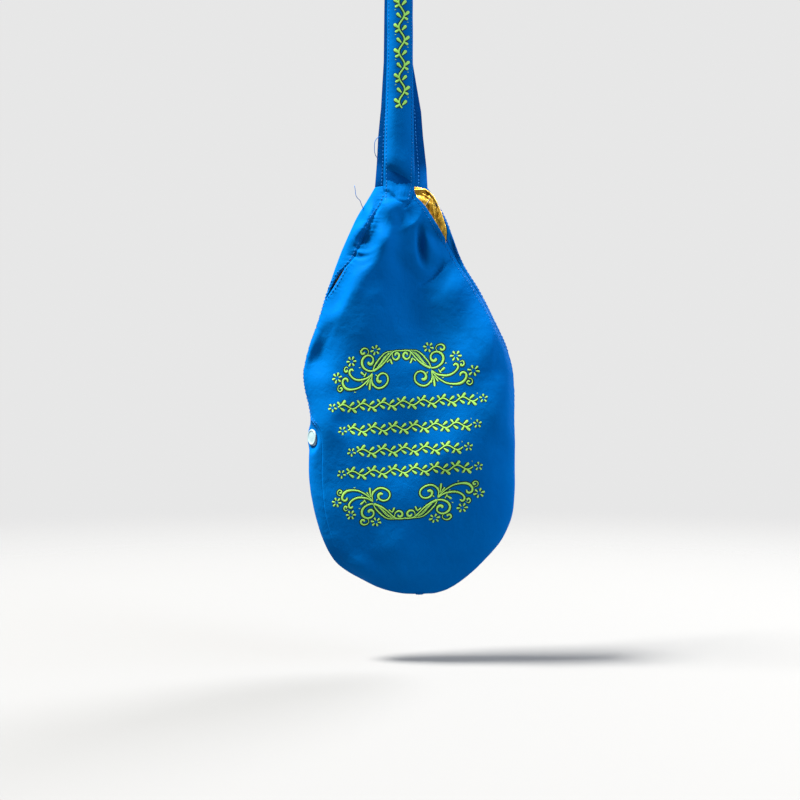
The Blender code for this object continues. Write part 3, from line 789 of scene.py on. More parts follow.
def grid_faces(rows, columns, turned):
    """Lists of four point numbers. turned makes them face the other way."""
    k = np.arange(rows * columns).reshape(rows, columns)
    faces = np.stack([k[:-1, :-1], k[1:, :-1], k[1:, 1:], k[:-1, 1:]], axis=-1).reshape(-1, 4)
    return (faces[:, ::-1] if turned else faces).tolist()


def object_from_grid(name, grid, turned, thickness):
    """A sheet of this thickness. Its uvs are lengths along the cloth, so a weave keeps its size on it."""
    rows, columns = grid.shape[:2]
    middle = slice(columns // 2, columns // 2 + 1)
    across, down = run_along(grid, 1), run_along(grid, 0)
    across = across - across[:, middle]
    uvs = np.stack([across, -down[:, middle] + 0 * across], axis=-1)
    made = new_object(name, grid.reshape(-1, 3), grid_faces(rows, columns, turned), uvs.reshape(-1, 2))
    thick = made.modifiers.new("cloth_thickness", "SOLIDIFY")
    thick.thickness = thickness
    thick.offset = -1
    thick.use_even_offset = False
    return made


print("faces of a grid of 3 by 4 points:", len(grid_faces(3, 4, False)))

# %% [markdown]
# ## Four cut pieces of cloth
# Two panels of blue cotton make the outside. Their edges are sewn together with the seam turned in, so the
# cloth dips into a narrow groove there and puckers a little, because the thread pulls it together.

# %% Seams that dip and pucker
SEAM_DIP = 0.0007
SEAM_ROLL = 0.0014
PUCKER_HEIGHT = 0.00035
PUCKER_LENGTH = 0.0042
PUCKER_REACH = 0.0065
SOFT_WAVE_HEIGHT = 0.00030
SMALL_WAVE_HEIGHT = 0.00006
EDGE_PULLS = {"left": 1.0, "right": 0.5}
CALM_PART = 0.85  # below the press stud the seam is pulled this much less
CALM_FROM, CALM_TO = 0.215, 0.245  # metres down the cloth


def sewn(grid, outward):
    """Moves a panel's outer face: dips at its edges, puckers beside them, and soft unevenness."""
    normals = grid_normals(grid, outward)
    move = SOFT_WAVE_HEIGHT * soft_waves(grid) + SMALL_WAVE_HEIGHT * small_waves(grid)
    down = run_along(grid, 0)
    # The puckers come unevenly: their pitch and their height swing along the seam.
    phase = 2 * math.pi * down / PUCKER_LENGTH
    wobble = np.sin(phase + 1.7 * np.sin(phase * 0.37)) * (0.6 + 0.4 * np.sin(phase * 0.13))
    for edge, pull in EDGE_PULLS.items():
        strength = pull * (1 - CALM_PART * smooth_step(CALM_FROM, CALM_TO, down))
        run = run_along(grid, 1)
        run = run if edge == "left" else run[:, -1:] - run
        move -= strength * SEAM_DIP * np.exp(-((run / SEAM_ROLL) ** 2))
        move += strength * PUCKER_HEIGHT * wobble * np.exp(-((run / PUCKER_REACH) ** 2)) * (run > 0)
    above_foot = down[-1:, :] - down
    move -= SEAM_DIP * np.exp(-((above_foot / (2 * SEAM_ROLL)) ** 2))
    return grid + normals * move[..., None], normals


front_grid, front_normals = sewn(front_grid, -1)
back_grid, back_normals = sewn(back_grid, 1)
print("sewn grids:", front_grid.shape, back_grid.shape)

# %% The two panels
front_panel = object_from_grid("folded_front", front_grid, False, CLOTH)
back_panel = object_from_grid("folded_back", back_grid, True, CLOTH)
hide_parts("front_panel")
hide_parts("back_panel")
for panel in (front_panel, back_panel):
    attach(panel, "root")
    print(panel.name, len(panel.data.polygons), "faces")

# %% [markdown]
# The lining is thinner and softer than the cotton, so it wrinkles more. It lies a little way inside the
# panels, and its free edges at the mouth stay hidden behind them.

# %% The golden lining
LINING = 0.0005  # its thickness
LINING_ROWS = 220
LINING_SLACK = 0.0014
LINING_STUD_DEPTH = 0.0057  # how deep below the stud's seat the lining is drawn flat
LINING_SINK = 0.0006
WRINKLE_HEIGHT = 0.0005
lining_waves = unevenness(23, 0.030, 0.007, 26)


def lining_piece(name, front):
    """One wrinkled lining, behind the front or before the back."""
    inset = LINING_INSET + LINING_SLACK
    grid = cloth_grid(front, LINING_COLUMNS, inset, LINING_STUD_DEPTH, LINING_ROWS)
    normals = grid_normals(grid, -1 if front else 1)
    grid = grid - normals * (LINING_SINK + WRINKLE_HEIGHT * (1 + lining_waves(grid)))[..., None]
    made = object_from_grid(name, grid, not front, LINING)
    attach(made, "root")
    return made


front_lining = lining_piece("gold_front_lining", True)
back_lining = lining_piece("gold_back_lining", False)
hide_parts("front_lining")
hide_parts("back_lining")
print("lining faces:", len(back_lining.data.polygons))

# %% [markdown]
# ## The open mouth
# Inside the mouth a strip of lining is turned out over the back's edge and sewn down. It catches the light,
# so its creases are what the eye finds first. We draw it between two lines, the mouth's rim and a line that
# stays hidden behind the front, and add its creases as folds of the same kind as the cotton's, only finer.

# %% The strip's two long sides
# Column, row, and depth in millimetres behind the middle plane, from the strap to the mouth's lower end.
RIM = [
    (404, 186.8, 6.2), (412, 187.4, 5.6), (420, 188.6, 4.2), (427.6, 191, 0.2), (433.2, 197, -3.4),
    (437.8, 205.5, -4.8), (442.2, 217, -6.5), (445.8, 230, -7.2), (445.6, 243, -4.2),
]
HIDDEN_SIDE = [
    (396, 196, 6.8), (404, 199, 5.6), (411, 202, 4.2), (416, 206, 2.4), (420, 212, 0.4),
    (426, 220, -2.4), (431, 229, -4.4), (436, 238, -4.6), (440.5, 247, -3.2),
]
STRIP_ROWS = 260
STRIP_COLUMNS = 56
SIDE_SPACING = 0.0002


def in_metres(points):
    """World points from (column, row, depth in mm)."""
    columns, rows, depths = np.array(points, float).T
    depths = depths * MILLIMETRE
    x, z = from_pixels(columns, rows, depths)
    return np.stack([x, depths, z], axis=1)


def evenly(points, count):
    """A smooth line through the points, as this many world points at even steps."""
    path, _ = rounded_path(in_metres(points)[:, [0, 2, 1]], SIDE_SPACING)
    at = np.linspace(0, len(path) - 1, count)
    return np.stack([np.interp(at, np.arange(len(path)), path[:, k]) for k in (0, 2, 1)], axis=1)


rim_line = evenly(RIM, STRIP_ROWS)
hidden_line = evenly(HIDDEN_SIDE, STRIP_ROWS)
print("the rim runs down by mm:", mm(rim_line[0, 2] - rim_line[-1, 2]))

# %% The strip's creases
MOUTH_FOLDS = {
    "brown hollow under the rim": [
        (408, 189.6, 0, 1.2, 0.9), (415, 189.8, -1.5, 1.2, 0.9), (421.5, 190.6, -1.6, 1.2, 0.9),
        (427.5, 193.8, -1.3, 1.2, 0.9), (431.6, 198.5, -0.9, 1.2, 0.9), (434.5, 204, 0, 1.2, 0.9),
    ],
    "pale turned edge under it": [
        (418, 192.2, 0, 1, 0.9), (422, 193.2, 0.5, 1, 0.9), (426, 195.6, 0.5, 1, 0.9),
        (430, 198.4, 0, 1, 0.9),
    ],
    "dark line below that edge": [
        (416.5, 192.6, 0, 0.9, 0.8), (420, 193.6, -0.9, 0.9, 0.8), (425, 197, -1.1, 0.9, 0.8),
        (429.7, 200.2, -1, 0.9, 0.8), (432, 204, 0, 0.9, 0.8),
    ],
    "bright patch at the left": [
        (413, 197, 0, 2.4, 1.8), (417, 197.6, 1, 2.4, 1.8), (421, 199.6, 0.9, 2.4, 1.8),
        (424, 203, 0, 2.4, 1.8),
    ],
    "upright bright fold": [
        (432.4, 197.5, 0, 1.5, 0.9), (432.9, 204, 1.5, 1.7, 0.9), (433.2, 212, 1.6, 1.7, 0.9),
        (434.2, 221.5, 0, 1.3, 0.9),
    ],
    "brown hollow on its left": [
        (427, 204, 0, 1.6, 1.2), (429.6, 209, -1.1, 1.6, 1.2), (431.6, 215, -1.1, 1.6, 1.2),
        (433, 220, 0, 1.6, 1.2),
    ],
    "a small crease on its right": [
        (435.2, 199.5, 0, 0.8, 0.8), (436.4, 205, -1.1, 0.8, 0.8), (436.6, 211, 0, 0.8, 0.8),
    ],
    "a second small crease": [
        (438.6, 212.4, 0, 0.9, 0.9), (437, 215.4, -1.5, 0.9, 0.9), (435, 220.6, 0, 0.9, 0.9),
    ],
    "a third small crease": [
        (434.2, 203.4, 0, 0.8, 0.8), (436.6, 205.4, -0.7, 0.8, 0.8), (439, 209, 0, 0.8, 0.8),
    ],
    "pale line along the rim, lower down": [
        (438.4, 209.5, 0, 1.2, 0.9), (441.4, 217.5, 1, 1.2, 0.9), (443.6, 226, 0.8, 1.2, 0.9),
        (444.4, 234, 0, 1.2, 0.9),
    ],
    "hollow beside that line": [
        (437, 219, 0, 1.6, 1.4), (440, 226, -0.9, 1.6, 1.4), (442, 234, 0, 1.6, 1.4),
    ],
}
print("creases of the strip:", len(MOUTH_FOLDS))

# %% The turned-out strip
STRIP_THICKNESS = 0.0004
STRIP_WAVE_HEIGHT = 0.00030
WAVES_SQUEEZED = (1.6, 1, 0.6)  # makes the strip's waves narrower across it and longer down it
strip_waves = unevenness(31, 0.009, 0.0022, 30)
across = np.linspace(0, 1, STRIP_COLUMNS)[None, :, None]
strip_grid = hidden_line[:, None] + across * (rim_line - hidden_line)[:, None]
strip_columns, strip_rows = to_pixels(strip_grid[..., 0], strip_grid[..., 2], strip_grid[..., 1])
strip_folds = sum_of_folds(strip_columns, strip_rows, MOUTH_FOLDS, softness=0.9, least_width=0.7)
strip_grid[..., 1] -= strip_folds + STRIP_WAVE_HEIGHT * strip_waves(strip_grid * WAVES_SQUEEZED)
turned_strip = object_from_grid("gold_mouth_strip", strip_grid, False, STRIP_THICKNESS)
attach(turned_strip, "root")
print("strip faces:", len(turned_strip.data.polygons))

# %% [markdown]
# The strip's outer edge is rolled into a thin hem. A tube with an uneven radius makes it, and the same
# function will make the stitches and the loose threads later.

# %% A tube along a line
TUBE_START = (0.3, 0.9, 0.2)  # any direction that no tube here follows


def tube_mesh(path, radii, sides):
    """Points and faces of a closed tube along a path."""
    path = np.array(path, float)
    radii = np.broadcast_to(radii, len(path))
    heading = np.gradient(path, axis=0)
    heading /= np.maximum(np.linalg.norm(heading, axis=1)[:, None], 1e-12)
    side = np.cross(heading[0], TUBE_START)
    turn = np.linspace(0, 2 * math.pi, sides, endpoint=False)[:, None]
    rings = []
    for point, ahead, radius in zip(path, heading, radii):
        side = side - ahead * side.dot(ahead)
        side /= max(np.linalg.norm(side), 1e-12)
        up = np.cross(ahead, side)
        rings.append(point + radius * (np.cos(turn) * side + np.sin(turn) * up))
    points = np.concatenate(rings + [path[:1], path[-1:]])
    first, last, base = len(points) - 2, len(points) - 1, (len(path) - 1) * sides
    faces = []
    for k in range(len(path) - 1):
        for j in range(sides):
            i = (j + 1) % sides
            faces.append([k * sides + j, k * sides + i, (k + 1) * sides + i, (k + 1) * sides + j])
    for j in range(sides):
        i = (j + 1) % sides
        faces.append([first, i, j])
        faces.append([last, base + j, base + i])
    return points, faces


def joined_object(name, parts):
    """One object from several lists of points and faces."""
    points, faces, base = [], [], 0
    for some_points, some_faces in parts:
        points.append(np.asarray(some_points, float))
        faces += [[base + k for k in face] for face in some_faces]
        base += len(some_points)
    return new_object(name, np.concatenate(points), faces)


print("faces of a tube of 3 points and 6 sides:", len(tube_mesh([(0, 0, k) for k in range(3)], 1.0, 6)[1]))

# %% The rolled hem round the mouth
HEM_RADIUS = 0.00078
HEM_IN_FRONT = 0.0006
HEM_SIDES = 12
HEM_WOBBLES = [(0.16, 0.0023), (0.10, 0.0009)]  # share of the radius, and length in metres
HEM_SHARES = [0, 0.1, 0.75, 1]
HEM_FULLNESS = [0.9, 1.1, 0.7, 0.3]
hem_run = length_along(rim_line)
hem_line = rim_line - np.array([0, HEM_IN_FRONT, 0])
hem_wobble = 1 + sum(height * np.sin(hem_run / length) for height, length in HEM_WOBBLES)
hem_size = HEM_RADIUS * hem_wobble * np.interp(hem_run / hem_run[-1], HEM_SHARES, HEM_FULLNESS)
rolled_hem = joined_object("rolled_hem", [tube_mesh(hem_line, hem_size, HEM_SIDES)])
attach(rolled_hem, "root")
print("hem length in mm:", mm(hem_run[-1]))

# %% [markdown]
# ## The neck strap
# The strap is one folded band. It curls lengthwise, so its left half catches the light, and its front end
# is pleated down to the bag's front. Its path is a long loop: up the front leg, over the hook, down the back.

# %% Sizes of the band
BAND_THICKNESS = 0.0019
BAND_COLUMNS = 26
LEG_ROWS = 330
STRAP_BEND = 0.0140  # radius of its turn over the hook
STRAP_CURL = 0.0070  # how far a leg's edges stay behind its crown
STRAP_CURL_AT_HOOK = 0.0020
BACK_CURL = -0.35  # the back leg curls the other way, and less
BOW_CROWN = -0.25  # where the front leg's crown runs, from -1 at its left edge to 1 at its right one
LEFT_BOW, RIGHT_BOW = 1.6, 0.5
OPENING = (-250, -190)  # pixel rows over which the curl grows, below the hook
# Pixel rows, then the columns of the two edges of each leg there.
FRONT_LEFT = ([-283, 57, 188, 204], [387.4, 388.0, 383.2, 383.4])
FRONT_RIGHT = ([-283, 57, 188, 204], [412.6, 412.4, 414.6, 410.6])
BACK_LEFT = ([-283, 58, 106, 134, 162, 189, 204], [387.4, 383.5, 380.7, 377.9, 376.5, 374.6, 374.6])
BACK_RIGHT = (
    [-283, 58, 86, 109, 134, 166, 188, 204],
    [412.6, 412.6, 417.4, 421.4, 423.3, 426.8, 427.6, 427.6],
)
LEG_TOP_ROW = to_pixels(0, -STRAP_BEND)[1]
print("a leg begins at pixel row", round(LEG_TOP_ROW))

# %% The band's sewn ends
BAG_TOP_ROW = 188
BAG_ROWS = 406  # the bag's height in pixels
SEWN_ROW = 206.5  # both ends of the band reach down to this pixel row
# Columns, and the row at each where the front end is tucked under the cloth and sewn.
SEWN_END = ([382, 389.5, 393, 397, 404, 409, 413], [190.5, 191.5, 195.5, 200.5, 203, 202, 198])
TUCK_ROWS = 3.5  # rows over which it goes under
BAND_OVER_CLOTH = 0.0006
TUCK_DEPTH = 0.0014
FRONT_LANDS = (150, 182)  # pixel rows over which each leg comes down onto the bag
BACK_LANDS = (160, 192)
FLAT_PART = 0.93  # past this part of the half width the back end runs on flat


def sewn_depth(x, rows, front):
    """How far out from the middle plane the band's inner face lies where it is sewn on."""
    share = np.maximum((rows - BAG_TOP_ROW) / BAG_ROWS, 0)
    if front:
        sewn_rows = np.interp(MIDDLE_COLUMN + x / METRES_PER_PIXEL, *SEWN_END)
        tucked = smooth_step(0, TUCK_ROWS, rows - sewn_rows)
        return -front_depth(x, share) + BAND_OVER_CLOTH - TUCK_DEPTH * tucked
    middle, half, _, back = ring_sizes(share)
    part = np.minimum(np.abs(x - middle) / half, FLAT_PART)
    return back * (1 - part**RING_POWER) ** (1 / RING_POWER) + BAND_OVER_CLOTH


print("the back end's middle, in mm behind the middle plane:", mm(sewn_depth(0.0, SEWN_ROW, False)))

# %% The two legs and the turn over the hook
CROWN_OVER_FRONT = 0.0012
CROWN_OVER_BACK = 0.0006
BEND_STEPS = 34


def crown_depth(rows, front):
    """How far out from the middle plane the crown of the band lies on its way from the bag to the hook."""
    climb = (BAG_TOP_ROW - rows) * METRES_PER_PIXEL
    low = front_bulge(0.0) + CROWN_OVER_FRONT if front else back_bulge(0.0) + CROWN_OVER_BACK
    return low + (STRAP_BEND - low) * np.clip(climb / (-TOP - STRAP_BEND), 0, 1)


def leg_grid(rows, front):
    """The band's inner face on one leg, as rows of points from its left edge to its right edge."""
    across = np.linspace(-1, 1, BAND_COLUMNS)[None, :]
    rows = rows[:, None]
    left = np.interp(rows, *(FRONT_LEFT if front else BACK_LEFT))
    right = np.interp(rows, *(FRONT_RIGHT if front else BACK_RIGHT))
    x = ((left + right) / 2 + across * (right - left) / 2 - MIDDLE_COLUMN) * METRES_PER_PIXEL
    z = from_pixels(0, rows)[1] + 0 * x
    opening = smooth_step(*OPENING, rows)
    curl = STRAP_CURL_AT_HOOK + (STRAP_CURL - STRAP_CURL_AT_HOOK) * opening
    aside = across - BOW_CROWN
    bow = np.where(aside < 0, LEFT_BOW, RIGHT_BOW) * aside**2 if front else BACK_CURL * across**2
    bow = across**2 + (bow - across**2) * opening
    free = crown_depth(rows, front) - curl * bow
    landed = smooth_step(*(FRONT_LANDS if front else BACK_LANDS), rows)
    sewn_on = sewn_depth(x, rows, front)
    depth = sewn_on + (free - sewn_on) * (1 - landed)
    return np.stack([x, -depth if front else depth, z], axis=-1)


def bend_grid(angles):
    """The band's inner face on its turn over the hook."""
    across = np.linspace(-1, 1, BAND_COLUMNS)[None, :, None]
    angles = angles[:, None, None]
    half = (FRONT_RIGHT[1][0] - FRONT_LEFT[1][0]) / 2 * METRES_PER_PIXEL
    out = np.concatenate([0 * angles, -np.cos(angles), np.sin(angles)], axis=-1)
    side = np.array([1.0, 0, 0])
    radius = STRAP_BEND - STRAP_CURL_AT_HOOK * across**2
    return np.array([0, 0, -STRAP_BEND]) + across * half * side + out * radius


leg_rows = np.linspace(SEWN_ROW, LEG_TOP_ROW, LEG_ROWS)
bend_angles = np.linspace(0, math.pi, BEND_STEPS)[1:-1]
legs_and_bend = [leg_grid(leg_rows, True), bend_grid(bend_angles), leg_grid(leg_rows[::-1], False)]
band_inner = np.concatenate(legs_and_bend)
print("strap length in mm:", mm(run_along(band_inner, 0)[-1, BAND_COLUMNS // 2]))

# %% [markdown]
# Where the front leg is sewn on, its cloth is gathered into a slanting pleat and small puckers, which are
# folds of the same kind as the bag's. The band itself is one closed skin: we give its inner face a thickness
# that is round at the edges, with the grooves that its stitches pull in, and join the two faces.

# %% The pleats at its front end
STRAP_PLEATS = {
    "slanting pleat above the sewn end": [
        (382, 158, 0, 4, 9), (391, 163, 1.1, 4, 12), (401, 171, 1.4, 4, 12), (413, 181, 0, 3, 8),
    ],
    "hollow under it": [
        (382, 171, 0, 5, 3), (391, 175, -1.1, 6, 3.5), (401, 181, -1.2, 6, 3.5), (411, 189, 0, 4, 3),
    ],
    "swelling where it is sewn down": [
        (381, 190, 0, 7, 8), (390, 192, 0.5, 7, 9), (402, 194, 0.6, 7, 9), (413, 193, 0, 7, 8),
    ],
    "left pucker": [
        (388, 184, 0, 2.5, 3), (390, 192, 0.6, 2.5, 3), (391, 202, 0, 2.5, 3),
    ],
    "hollow between the puckers": [
        (396, 186, 0, 2, 2), (396, 193, -0.7, 2, 2), (397, 202, 0, 2, 2),
    ],
    "right pucker": [
        (404, 186, 0, 2.5, 2.5), (404, 194, 0.6, 2.5, 2.5), (405, 202, 0, 2.5, 2.5),
    ],
}
PUCKER_ROW = 192
PUCKER_ROWS = 8
FINE_PUCKER = 0.16  # millimetres


def band_pleats(columns, rows):
    """How far the pleats and the fine puckers beside the sewing stand out, in metres."""
    near_sewing = np.exp(-(((rows - PUCKER_ROW) / PUCKER_ROWS) ** 2))
    waves = np.sin(columns * 1.7 + 1.6 * np.sin(rows * 0.35 + columns * 0.22))
    return sum_of_folds(columns, rows, STRAP_PLEATS) + FINE_PUCKER * MILLIMETRE * waves * near_sewing


print("the pleat above the sewn end in mm:", mm(band_pleats(np.array([396.0]), np.array([167.0]))))

# %% The band's outer face
STITCH_LINE = 0.80  # across the band, from 0 in its middle to 1 at its edge
STITCH_GROOVE = 0.10  # as a part of the thickness
STITCH_GROOVE_WIDTH = 0.04
EDGE_RIDGE_AT = 0.90
EDGE_RIDGE = 0.0004
EDGE_RIDGE_WIDTH = 0.06
PRESSED_THIN = 0.84  # the part of the thickness that is pressed away where the front leg is sewn on
THIN_FROM, THIN_TO = 156, 182  # pixel rows
BAND_WAVE_HEIGHT = 0.00022
BAND_WAVES_SHORTER = 1.7


def outer_face(inner):
    """The band's outer face: its thickness, stitch grooves and edge ridges, then pleats and unevenness."""
    normals = grid_normals(inner, 1)
    across = np.abs(np.linspace(-1, 1, inner.shape[1]))
    body = (1 - across**10) ** 0.5
    groove = STITCH_GROOVE * np.exp(-(((across - STITCH_LINE) / STITCH_GROOVE_WIDTH) ** 2))
    thick = BAND_THICKNESS * np.maximum(body - groove, 0)
    ridge = EDGE_RIDGE * np.exp(-(((across - EDGE_RIDGE_AT) / EDGE_RIDGE_WIDTH) ** 2))
    in_front = (np.arange(len(inner)) < LEG_ROWS)[:, None]
    _, rows = to_pixels(inner[..., 0], inner[..., 2])
    thin = 1 - PRESSED_THIN * smooth_step(THIN_FROM, THIN_TO, rows) * in_front
    outer = inner + normals * ((thick + ridge) * thin)[..., None]
    outer[..., 1] -= band_pleats(*to_pixels(outer[..., 0], outer[..., 2])) * in_front
    uneven = BAND_WAVE_HEIGHT * soft_waves(outer * BAND_WAVES_SHORTER)
    uneven += SMALL_WAVE_HEIGHT * small_waves(outer)
    return outer + normals * uneven[..., None]


band_outer = outer_face(band_inner)
print("rows and columns of the band:", band_outer.shape[:2])

# %% The band's closed skin
SHARP_EDGE = math.radians(60)
band_rows, band_columns = band_outer.shape[:2]
ring = np.concatenate([band_outer, band_inner[:, ::-1]], axis=1)
across_run = run_along(ring, 1)
down_run = run_along(band_inner, 0)[:, band_columns // 2]
ring_uvs = np.stack([across_run, down_run[:, None] + 0 * across_run], axis=-1)
ring_count = ring.shape[1]
k = np.arange(band_rows * ring_count).reshape(band_rows, ring_count)
ahead = np.roll(k, -1, axis=1)
strap_faces = np.stack([k[:-1], ahead[:-1], ahead[1:], k[1:]], axis=-1).reshape(-1, 4).tolist()
strap_faces += [k[0, ::-1].tolist(), k[-1].tolist()]
folded_band = new_object("folded_band", ring.reshape(-1, 3), strap_faces, ring_uvs.reshape(-1, 2))
folded_band.data.set_sharp_from_angle(angle=SHARP_EDGE)
# The band's inner faces take a darker copy of the cotton: painted shade.
painted_shade_faces = np.zeros((band_rows - 1, ring_count), int)
painted_shade_faces[:, band_columns:-1] = 1
painted_shade_faces = np.append(painted_shade_faces.ravel(), [0, 0])
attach(folded_band, "root")
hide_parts("neck_strap")
print("strap faces:", len(folded_band.data.polygons))

# %% [markdown]
# ## Printed ink
# The ornament is thick ink printed on the sewn bag, so it follows every fold. We shoot a ray from the camera
# through each point of a drawn line: where the ray meets the cloth is where the ink lies. The ink gets a
# raised middle and a darker, wider layer under it, like the green rim that soaks into the cotton.

# %% Rays from the camera to the cloth
from mathutils.bvhtree import BVHTree

CAMERA_PLACE = Vector((0.0, -CAMERA_DISTANCE, from_pixels(MIDDLE_COLUMN, PICTURE_MIDDLE)[1]))


def surface_tree(grid):
    """The grid as a search tree that finds where a ray meets it."""
    rows, columns = grid.shape[:2]
    return BVHTree.FromPolygons(grid.reshape(-1, 3).tolist(), grid_faces(rows, columns, False))


def on_cloth(tree, column, row):
    """The point of the cloth that shows at this pixel, and the cloth's normal there."""
    x, z = from_pixels(column, row)
    hit, normal, _, _ = tree.ray_cast(CAMERA_PLACE, Vector((x, 0, z)) - CAMERA_PLACE)
    if hit is not None and normal.y > 0:
        normal = -normal
    return hit, normal


panel_tree = surface_tree(front_grid)
strap_tree = surface_tree(band_outer[:LEG_ROWS])
print("the cloth in the picture's middle is at mm:", mm(on_cloth(panel_tree, 400, 400)[0]))

# %% A stroke of ink
INK_STEP = 0.45  # pixels between the points of a stroke
INK_SLIM = 0.88  # the part of its drawn width that a stroke keeps
INK_LEAST = 0.2  # pixels
INK_CROWN = 0.00020
INK_EDGE = 0.00008
CROWN_SIDES = 0.55  # where, between the crown and the edge, the ink is still nearly as high
CROWN_SIDES_LIFT = 0.85
ROUND_END = 0.12  # pixels, so that a stroke's end is a little blunt


def ink_stroke(tree, stations, extra=0.0, crown=INK_CROWN, edge=INK_EDGE):
    """Points and faces of one stroke with round ends, from its (column, row, width) stations."""
    path, at = rounded_path(stations, INK_STEP)
    heading = np.gradient(path[:, :2], axis=0)
    heading /= np.maximum(np.linalg.norm(heading, axis=1)[:, None], 1e-9)
    half = np.maximum(path[:, 2] * INK_SLIM + extra, INK_LEAST) / 2
    from_end = np.minimum(at, at[-1] - at) + ROUND_END
    half = half * np.sqrt(np.clip(1 - (1 - np.clip(from_end / half, 0, 1)) ** 2, 0.05, 1))
    side = (CROWN_SIDES, crown * CROWN_SIDES_LIFT)
    steps = ((-1, edge), (-side[0], side[1]), (0, crown), side, (1, edge))
    made, faces = [], []
    for (column, row), (dx, dy), reach in zip(path[:, :2], heading, half):
        for step, lift in steps:
            hit, normal = on_cloth(tree, column - dy * step * reach, row + dx * step * reach)
            if hit is None:
                return [], []
            made.append(hit + normal * lift)
    for k in range(len(path) - 1):
        for j in range(len(steps) - 1):
            a = k * len(steps) + j
            faces.append([a, a + len(steps), a + len(steps) + 1, a + 1])
    return made, faces


print("points of a short stroke:", len(ink_stroke(panel_tree, [(400, 400, 2), (404, 402, 2)])[0]))

# %% [markdown]
# The ornament is the same on its left and right, so half of it is drawn, as strokes with a width at each
# point, and mirrored. A leaf or a petal is a short stroke in the shape of a drop.

# %% The scrolls of half an ornament
# Each point is (across from the middle, down, width of the stroke), in pixels.
SCROLLS = {
    "middle spiral": [
        (6.1, 355.5, 1), (5.7, 353.8, 2), (4, 352.9, 2.3), (2.3, 354.5, 2.2), (2.5, 357.5, 2),
        (5, 359.4, 1.8), (7.7, 358.4, 1.4), (8.9, 355.9, 0.9), (9, 352.9, 0.6),
    ],
    "main stem": [
        (-0.7, 351, 1), (2.8, 350.6, 1.2), (7.7, 351.3, 1.2), (11.5, 355, 1.2), (16.6, 361.1, 1.3),
        (21.7, 365.6, 1.9), (28.6, 369.6, 2.2),
    ],
    "inner stem": [
        (10.2, 351.8, 0.5), (14.6, 355.2, 0.8), (18.5, 360, 0.9), (22.6, 364.8, 0.6),
    ],
    "middle stem": [
        (12.2, 352.1, 0.5), (16.9, 356.1, 0.8), (20.4, 361.1, 0.9), (24.5, 366.1, 0.6),
    ],
    "outer stem": [
        (7.7, 350.6, 0.5), (15.1, 351.6, 0.9), (19.7, 354.9, 1.2), (23.9, 359.7, 1.4),
        (27.4, 364.7, 1.2), (28.9, 369.1, 1),
    ],
    "upper spiral": [
        (29, 369.6, 1.6), (33.8, 369.1, 1.7), (38.5, 366.1, 2), (40.6, 361.7, 2.3), (39.8, 357, 2.2),
        (36.1, 353.9, 1.8), (31.9, 354, 1.6), (29, 356.8, 1.6), (29, 360.4, 1.9), (31.2, 362.7, 2.6),
        (33.5, 361.7, 2.8), (33.4, 359.8, 1.6),
    ],
    "upper curl": [
        (34.7, 353.3, 0.6), (33.6, 349.6, 0.7), (35.7, 346.9, 1), (39.2, 346.6, 1.5), (41.7, 349.2, 1.8),
        (40.7, 351.8, 2), (38.4, 351.5, 2.1), (38.2, 350, 1.2),
    ],
    "hook": [
        (29.6, 372, 1), (34.7, 375.9, 1.4), (40.4, 377.6, 1.9), (45.9, 377.6, 1.9), (50.8, 375.2, 1.7),
        (54, 371.3, 1.8), (54, 368, 2), (52, 366.7, 2.2), (50, 368.3, 1.5),
    ],
    "hook curl": [
        (56, 365, 0.6), (58.4, 364, 0.9), (59.8, 366.6, 1.3), (58.6, 368.8, 1.8), (56.8, 368.1, 1.9),
        (57.5, 366.7, 1.2),
    ],
    "long arc": [
        (29.8, 372.8, 0.9), (33.8, 377.9, 1.1), (38.5, 382.1, 1.3), (44.1, 385.5, 1.4),
        (50.5, 386.8, 1.7), (56, 386.4, 2.4), (59.6, 384.2, 2.4), (61.8, 380.4, 2.2), (61.4, 377, 2),
        (59, 375.4, 2.1), (56.7, 376.6, 2), (56.3, 379, 1.2),
    ],
    "arc curl": [
        (63.8, 381.5, 0.5), (66.7, 382.9, 0.7), (67.2, 386.3, 0.9), (64.8, 388.1, 1.1),
        (62.5, 386.3, 1.5), (63.5, 384.5, 1.8), (65, 385.2, 1.3),
    ],
    "lower spiral": [
        (29.6, 372.2, 1), (30.2, 379.1, 1.2), (27.8, 384.3, 1.6), (23.5, 387, 1.8), (18.3, 386, 1.7),
        (14.2, 382.2, 1.6), (13.4, 377.3, 1.5), (15.6, 373.4, 1.5), (19.7, 372.4, 1.6),
        (23.3, 374.7, 1.9), (24.3, 378.5, 2.6), (22.5, 380.6, 3), (20, 380, 2.2),
    ],
}
print("scrolls:", ", ".join(SCROLLS))

# %% Leaves, dots and flowers of half an ornament
LEAVES = [  # base, tip, width
    ((11.4, 358.0), (9.1, 363.7), 1.7),
    ((11.0, 358.5), (14.5, 361.6), 1.3),
    ((10.3, 358.8), (9.7, 361.5), 1.0),
    ((31.6, 377.3), (32.6, 388.2), 2.0),
    ((30.9, 378.1), (29.3, 384.2), 1.2),
    ((32.5, 378.0), (35.9, 383.4), 1.3),
    ((37.9, 373.5), (42.0, 369.8), 2.2),
    ((36.0, 370.9), (38.4, 374.9), 1.4),
    ((26.2, 373.0), (24.9, 374.8), 1.2),
]
DOTS = [(43.1, 365.4, 1.25), (48.3, 389.6, 1.4), (40.5, 379.8, 1.1)]  # across, down, radius
DOT_LENGTH = 0.8
# Across, down, turn in degrees, and size.
FLOWERS = [(26.5, 348.7, -107, 4.3), (52.2, 358.7, -118, 4.5), (68.3, 374.3, -107, 4.7)]
PETALS = 6
PETAL_FROM, PETAL_TO = 0.42, 1.2  # shares of the flower's size
PETAL_WIDTH = 2.1
DROP_PLACES = np.array([0, 0.3, 0.6, 0.85, 1.0])
DROP_WIDTHS = np.array([0.35, 0.65, 0.95, 1.0, 0.8])


